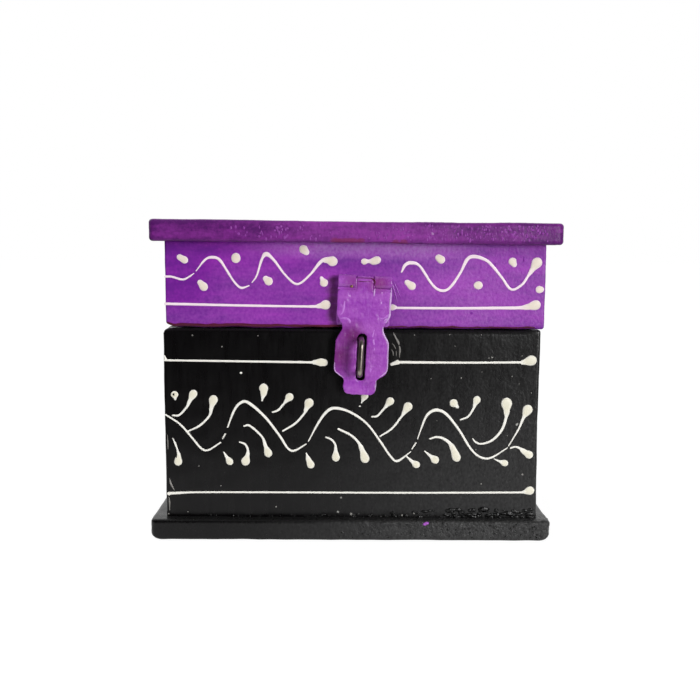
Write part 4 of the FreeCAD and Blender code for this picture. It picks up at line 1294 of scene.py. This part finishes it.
# %% Fleck, dust, chips and nicks
fleck = [((26.7, 6.4), (0.95, 0.35, 0.5)), ((26, 6), (0.7, 0.3, 0.5))]
dust = [
    (-45.3, 68.1, 0.28), (-55.5, 72, 0.28), (-32.8, 72, 0.24), (-53.9, 25.5, 0.24), (-46.2, 18.4, 0.22),
    (-26.7, 10.8, 0.32), (-58, 8.8, 0.22), (-3.6, 14.2, 0.38), (0, 8.2, 0.5), (18.2, 7.8, 0.36),
    (22.5, 8.6, 0.4), (60.8, 23, 0.4), (46.2, 19.5, 0.28), (48.8, 64.9, 0.36), (47.8, 64.7, 0.24),
    (38.2, 57.6, 0.28), (21.6, 72.6, 0.2), (33.8, 72.8, 0.2), (44.9, 72.8, 0.22), (44, 32, 0.2),
    (55, 37, 0.22), (27.6, 57.3, 0.18), (56, 58.2, 0.22), (58.6, 55.6, 0.18), (59.3, 65.5, 0.22),
    (30, 42.2, 0.16), (45.4, 59.7, 0.18), (63, 52.4, 0.2), (35.8, 68.8, 0.18),
]
chips = [((-62.3, 51.2), (0.36, 0.16, 0.42), 0.38), ((-61.75, 29.7), (0.3, 0.2, 1.2), 0.34)]
# Dark purple marks for small dents in the lid: their darkness is painted shade.
dent_shade_marks = [((41.4, 80.4), (0.6, 0.12, 0.5)), ((58.9, 99.2), (0.28, 0.12, 1)), ((49, 97), (0.3, 0.14, 0.8))]
DUST_HEIGHT = 0.2
HALF_SUNK = 0.05
lump_piece("fallen_purple_fleck", "base", steel_enamel,
           [((x, plinth_front - COAT - HALF_SUNK, z), size) for (x, z), size in fleck])
lump_piece("caught_dust", "base", dust_grey,
           [((x, tray_front - COAT - HALF_SUNK, z), (size, DUST_HEIGHT, size)) for x, z, size in dust])
lump_piece("ornament_chips", "base", black_enamel,
           [((x, tray_front - COAT - out, z), size) for (x, z), size, out in chips])
lump_piece("lid_dent_painted_shade", "lid", purple_enamel,
           [((x, lid_front - COAT, z), size) for (x, z), size in dent_shade_marks])
print("specks of dust:", len(dust), "chips:", len(chips), "nicks:", len(dent_shade_marks))

# %% [markdown]
# Along the lid's lower edge a thin uneven maroon line is painted shade on the rounded edge. The
# purple could be tinted there, but the line stands out as a ridge of dried drips, so it is one long
# piped stroke of changing width. Its map follows the lid's rounded and wandering edge.

# %% Maroon rim
RIM_START = -63.7
RIM_STEP = 2.19
RIM_KNOTS = 59
lid_low = node_box("lid_front_rail")[0][2]


def rim_map(across, up, out):
    """The map from (across, up from the lid's lower edge, out) to space, on that rounded edge."""
    drop = min(0.95, max(0.0, RAIL_EDGE - up))
    place = (across, lid_front - COAT - out + 1 - (1 - drop * drop) ** 0.5, lid_low + up)
    return (place[0], place[1], place[2] + lid_warp(*place)[2])


rim = []
for number in range(RIM_KNOTS):
    across = RIM_START + RIM_STEP * number
    wide = 0.62 - 0.26 * ramp(across, -40, 20) + 0.24 * noise.noise(Vector((across / 2.6, 0, 7)))
    rim.append((across, 0.1 + wide, wide))
# The maroon line is painted shade along the lid's rounded lower edge.
piped("lid_rim_painted_shade", "lid", maroon_enamel, [rim], rim_map)
print("maroon rim from", RIM_START, "to", round(rim[-1][0], 2), "mm")

# %% [markdown]
# The top board's front edge has its own lumps, in clusters that grow denser to the right. They are
# small, upright and only a little paler than the paint round them, like curdled enamel. The paler
# colour is painted highlight on the lumps.

# %% Lumps of the top board
# A cluster is its middle along x, how far it spreads, and its number of lumps.
clusters = [(-27, 5, 26), (-38, 4, 8), (-12, 8, 14), (12, 8, 30), (32, 8, 46), (44, 6, 40), (58, 8, 90)]
top_front = node_box("top_board")[0][1]
top_low = node_box("top_board")[0][2]
board_lumps = []
for middle, spread, count in clusters:
    for number in range(count):
        size = chance.uniform(0.16, 0.42)
        across = middle + spread * chance.uniform(-1, 1)
        place = (across, top_front - COAT, top_low + chance.uniform(0.8, 5.8))
        extent = (size * chance.uniform(0.6, 1.2), 0.5 * size, size * chance.uniform(0.8, 2))
        board_lumps.append((place, extent))
lump_piece("top_board_paint_lumps", "lid", lump_highlight_enamel, board_lumps)
print("lumps on the top board:", len(board_lumps))

# %% [markdown]
# The hasp is where hands go, so its paint has the most marks: fat edges and low ridges, whose pale
# colour is painted highlight, a few painted glints, maroon grime on the middle knuckle, and paint
# that bridges the joints between the knuckles. They are low strokes, given across the hasp's middle
# line and up from its pin, and a map follows its small tilt. Paint in the joints and grime stay with
# the lid, because the arm's knuckle turns inside them.

# %% Marks on the hasp
# Pale strokes on the fat edges, and glints: their pale colour is painted highlight.
fat_edge_highlights = [
    [(9, -1.4, 0.12), (9, -4, 0.3), (8.9, -6, 0.38), (8.9, -8.4, 0.26), (8.9, -11, 0.34), (7.8, -13.4, 0.14)],
    [(6.9, -15, 0.16), (6.9, -16.4, 0.3), (7.9, -18.6, 0.34), (8.9, -20.4, 0.3), (9.1, -25, 0.22),
     (9.1, -29.6, 0.24), (8, -31.2, 0.2), (6.4, -32.4, 0.12)],
    [(5.5, -33.6, 0.12), (5.5, -35.6, 0.22), (5.4, -37, 0.12)],
    [(-9, -28, 0.1), (-8.8, -30.6, 0.2), (-7.4, -31.9, 0.2), (-5.8, -33, 0.1)],
]
glints = [
    [(3.3, -2, 0.16), (3.3, -3.2, 0.32), (3.2, -4.4, 0.14)],
    [(7.3, -12.5, 0.1), (7.9, -12, 0.22), (8.5, -11.9, 0.1)],
]
# Low paint ridges; their paler colour is painted highlight.
ridge_highlights = [
    [(5.4, -12, 0.2), (6.8, -11.8, 0.4), (8.2, -11, 0.5), (8.8, -10.2, 0.3)],
    [(6.9, -13.9, 0.2), (7.5, -12.8, 0.5), (8.4, -12.3, 0.3)],
    [(-6.6, -6.4, 0.2), (-6.8, -8.4, 0.45), (-7.2, -10.4, 0.5), (-7.9, -11.4, 0.3)],
    [(-7.6, -12.6, 0.2), (-6.4, -12.5, 0.45), (-4.9, -13, 0.5), (-4.3, -14.8, 0.25)],
    [(4, -16, 0.2), (3.6, -18.4, 0.5), (4.4, -22, 0.4), (4, -24, 0.2)],
    [(2.9, -27, 0.2), (3.4, -29.4, 0.5), (3.2, -31.6, 0.2)],
]
grime = [
    [(2.1, 1.5, 0.14), (2.9, 1.1, 0.32), (3.3, 0.4, 0.24), (3.2, -0.4, 0.12)],
    [(-2.5, 1.5, 0.08), (0, 1.55, 0.12), (2, 1.6, 0.08)],
    [(-2.6, 0.4, 0.06), (-0.6, 0.3, 0.11), (1.6, 0.5, 0.06)],
]
joint_paint = [
    [(-8.8, -2.4, 0.5), (-3.2, -2.4, 0.6)],
    [(3.2, -2.4, 0.6), (8.8, -2.4, 0.5)],
    [(-3.05, 1.1, 0.3), (-3.1, -0.6, 0.36), (-3.05, -2.6, 0.34)],
    [(3.1, 1.1, 0.3), (3.05, -0.6, 0.36), (3.1, -2.6, 0.34)],
]
print("marks on the hasp:", len(fat_edge_highlights + glints + ridge_highlights + grime + joint_paint))

# %% [markdown]
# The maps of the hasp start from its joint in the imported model: where the pin is and how its axis
# leans. A small depth sets how far a stroke sinks into the sheet, which the coat of paint covers.
# On the knuckle the strokes also fall back with its round. One worn spot shows bare brass.

# %% Paint on the hasp
GRIME_LIFT = 0.14
hasp_joint = next(joint for joint in frame["joints"] if joint["name"] == "hasp_hinge")
hasp_pin_place = Vector(hasp_joint["pos_m"]) / MM
hasp_lean = asin(hasp_joint["axis"][2])
arm_front = node_box("hasp_arm")[0][1]


def arm_map(depth):
    """The map from (across, up from the pin, out) to space, this deep in the hasp's front."""
    def to_space(across, up, out):
        return (hasp_pin_place.x + across * cos(hasp_lean) + up * sin(hasp_lean), arm_front + depth - out,
                hasp_pin_place.z - across * sin(hasp_lean) + up * cos(hasp_lean))
    return to_space


def knuckle_map(across, up, out):
    """The same map on the round of the middle knuckle, which falls back above and below the pin."""
    x, y, z = arm_map(-GRIME_LIFT)(across, up, out)
    radius = hasp_pin_place.y - arm_front
    return (x, y + radius - (radius**2 - up**2) ** 0.5, z)


piped("hasp_edge_highlights", "hasp", edge_highlight_enamel, fat_edge_highlights + glints, arm_map(0.02))
piped("hasp_ridge_highlights", "hasp", ridge_highlight_enamel, ridge_highlights, arm_map(0.14))
piped("hasp_knuckle_grime", "lid", maroon_enamel, grime, knuckle_map)
piped("hasp_paint_in_joints", "lid", steel_enamel, joint_paint, arm_map(0.45))
worn_spot = ((-0.4, arm_front + 0.15, 89.7), (0.55, 0.3, 0.5))
lump_piece("hasp_worn_spot", "lid", bare_brass, [worn_spot])
print("the hasp leans by", round(hasp_lean, 4), "radians")

# %% [markdown]
# The swinging hasp dragged thin grey arcs over the black beside it, cream was smeared down the tray's
# left corner, whose grey strokes are partly painted highlight on the rounded edge, and a loaded brush
# left two ridges on the lid. They are strokes so low and thin that they read as marks rather than
# ornament.

# %% Drag marks and brush ridges
drags = [
    [(14.3, 73.2, 0.18), (15, 71.8, 0.34), (15.9, 70.2, 0.4), (16.2, 69.4, 0.3)],
    [(16.4, 68.6, 0.24), (16.6, 67.4, 0.34), (16.5, 66, 0.26), (16.5, 64.8, 0.14)],
    [(13.9, 69.6, 0.1), (14.6, 68.8, 0.17), (15.1, 67.8, 0.12)],
    [(15.3, 66.9, 0.12), (15.4, 65.9, 0.15), (15.3, 65.2, 0.1)],
    [(13.7, 67.4, 0.1), (14.2, 66.5, 0.2), (14.3, 65.4, 0.12)],
]
# Grey strokes down the tray's left corner: smeared cream, and partly painted highlight on the edge.
corner_smears_and_highlight = [
    [(-64.3, 20.9, 0.12), (-64, 19.4, 0.4), (-63.3, 17.8, 0.3), (-62.7, 16.7, 0.12)],
    [(-64.7, 14.2, 0.12), (-64.5, 12.4, 0.26), (-64.5, 9.4, 0.14)],
    [(-64.9, 8, 0.26)],
    [(-64.8, 36.6, 0.1), (-64.7, 34, 0.2), (-64.7, 31.6, 0.1)],
]
ridges = [
    [(13.2, 92.6, 0.12), (13.8, 89.6, 0.26), (14.8, 86.4, 0.22), (15.4, 83.9, 0.1)],
    [(14.2, 91, 0.1), (15.4, 88.2, 0.2), (16.4, 86, 0.1)],
]
piped("hasp_drag_marks", "base", thin_cream, drags + corner_smears_and_highlight, tray_face)
piped("lid_brush_ridges", "lid", steel_enamel, ridges, lid_face)
print("drag marks and smears:", len(drags) + len(corner_smears_and_highlight), "ridges:", len(ridges))

# %% [markdown]
# The hasp was painted with the lid, so the paint has rounded its sheet edges and filled its
# corners. It could be built anew, but its knuckles and slot are already right in the CAD meshes. So
# these stay as they are, and modifiers dress them: a weld joins their faces, a fine voxel remesh and
# a few passes of smoothing turn the sharp sheet into a painted one, and a shallow displacement gives
# it the lie of brushed paint. The staple and the hinges are bare metal, and only lose the sharpness
# of their edges to a narrow bevel.

# %% Metalwork
WELD_WITHIN = 0.002
COAT_VOXEL = 0.22
BRUSH_MARK = 1.6
BRUSH_HEIGHT = 0.34
WIRE_EDGE = 0.05
SHEET_EDGE = 0.1
SHARP_ANGLE = 40


def welded(nodes, material):
    """Gives each CAD node its material and joins its faces. Yields the node's object."""
    for node in nodes:
        piece = frame["nodes"][node]
        piece.data.materials.clear()
        piece.data.materials.append(material)
        weld = piece.modifiers.new("weld", "WELD")
        weld.merge_threshold = WELD_WITHIN * MM
        yield piece


def painted_metal(nodes, material):
    """Dresses sheet metal in a thick brushed coat."""
    lie = bpy.data.textures.new("lie_of_the_paint", "CLOUDS")
    lie.noise_scale = BRUSH_MARK * MM
    lie.noise_depth = 2
    for piece in welded(nodes, material):
        coat = piece.modifiers.new("coat", "REMESH")
        coat.mode = "VOXEL"
        coat.voxel_size = COAT_VOXEL * MM
        coat.use_smooth_shade = True
        flow = piece.modifiers.new("flow", "SMOOTH")
        flow.factor = 0.5
        flow.iterations = 12
        brush = piece.modifiers.new("brush", "DISPLACE")
        brush.texture = lie
        brush.texture_coords = "LOCAL"
        brush.strength = BRUSH_HEIGHT * MM
        brush.mid_level = 0.4


def bare_metal(nodes, material, width):
    """Takes the sharpness off the edges of bare metal."""
    for piece in welded(nodes, material):
        edge = piece.modifiers.new("edge", "BEVEL")
        edge.width = width * MM
        edge.segments = 2
        edge.limit_method = "ANGLE"
        edge.angle_limit = radians(SHARP_ANGLE)


hasp_nodes = ["hasp_arm", "hasp_fixed_leaf", "hasp_pin", "hasp_nails"]
hinge_parts = ("base_leaf", "lid_leaf", "pin")
hinge_nodes = [f"{side}_hinge_{part}" for side in ("left", "right") for part in hinge_parts]
nail_nodes = ["hinge_base_nails", "hinge_lid_nails"]
pin_nodes = ["base_corner_pins", "bottom_board_pins", "lid_corner_pins", "top_board_pins"]
painted_metal(hasp_nodes, steel_enamel)
bare_metal(["staple"], staple_steel, WIRE_EDGE)
bare_metal(hinge_nodes + nail_nodes + pin_nodes, hinge_steel, SHEET_EDGE)
print("painted metal nodes:", len(hasp_nodes), "bare ones:", 1 + len(hinge_nodes + nail_nodes + pin_nodes))

# %% [markdown]
# Inside, the tray and the lid are lined with velvet glued over thin card. Each panel is a low
# pillow: its edges are turned over and its middle is crowned by the wadding under the cloth. Cloth
# simulation would be needed for a loose cushion, but these are glued down all round, so a formula
# gives the crown: highest in the middle and nothing at the edges.

# %% Velvet panels
CROWN = 0.5
TURNED_EDGE = 0.4
PANEL_STEP = 2.5
X, Y, Z = range(3)


def velvet_panel(node, body, thin_axis, face_sign):
    """A crowned panel in its CAD panel's place. The crown faces along the thin axis."""
    low, high = node_box(node)
    points, quads = box_grid(low, high, TURNED_EDGE, (PANEL_STEP,) * 3)
    points = round_off(points, low, high, [(TURNED_EDGE, "-x+x-y+y-z+z")])
    middle, half = (low + high) / 2, (high - low) / 2
    wide = [axis for axis in (X, Y, Z) if axis != thin_axis]
    shares = [np.clip(1 - ((points[:, axis] - middle[axis]) / half[axis]) ** 2, 0, 1) for axis in wide]
    shown = (points[:, thin_axis] - middle[thin_axis]) * face_sign > 0
    points[shown, thin_axis] += face_sign * CROWN * np.sqrt(shares[0] * shares[1])[shown]
    piece = mesh_piece("velvet_" + node, points, quads, red_velvet)
    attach(piece, body)
    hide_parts(node)
    return piece


panels = [
    velvet_panel("floor_lining", "base", Z, 1),
    velvet_panel("front_wall_lining", "base", Y, 1),
    velvet_panel("back_wall_lining", "base", Y, -1),
    velvet_panel("left_wall_lining", "base", X, 1),
    velvet_panel("right_wall_lining", "base", X, -1),
    velvet_panel("lid_top_lining", "lid", Z, -1),
]
print("velvet panels:", len(panels))
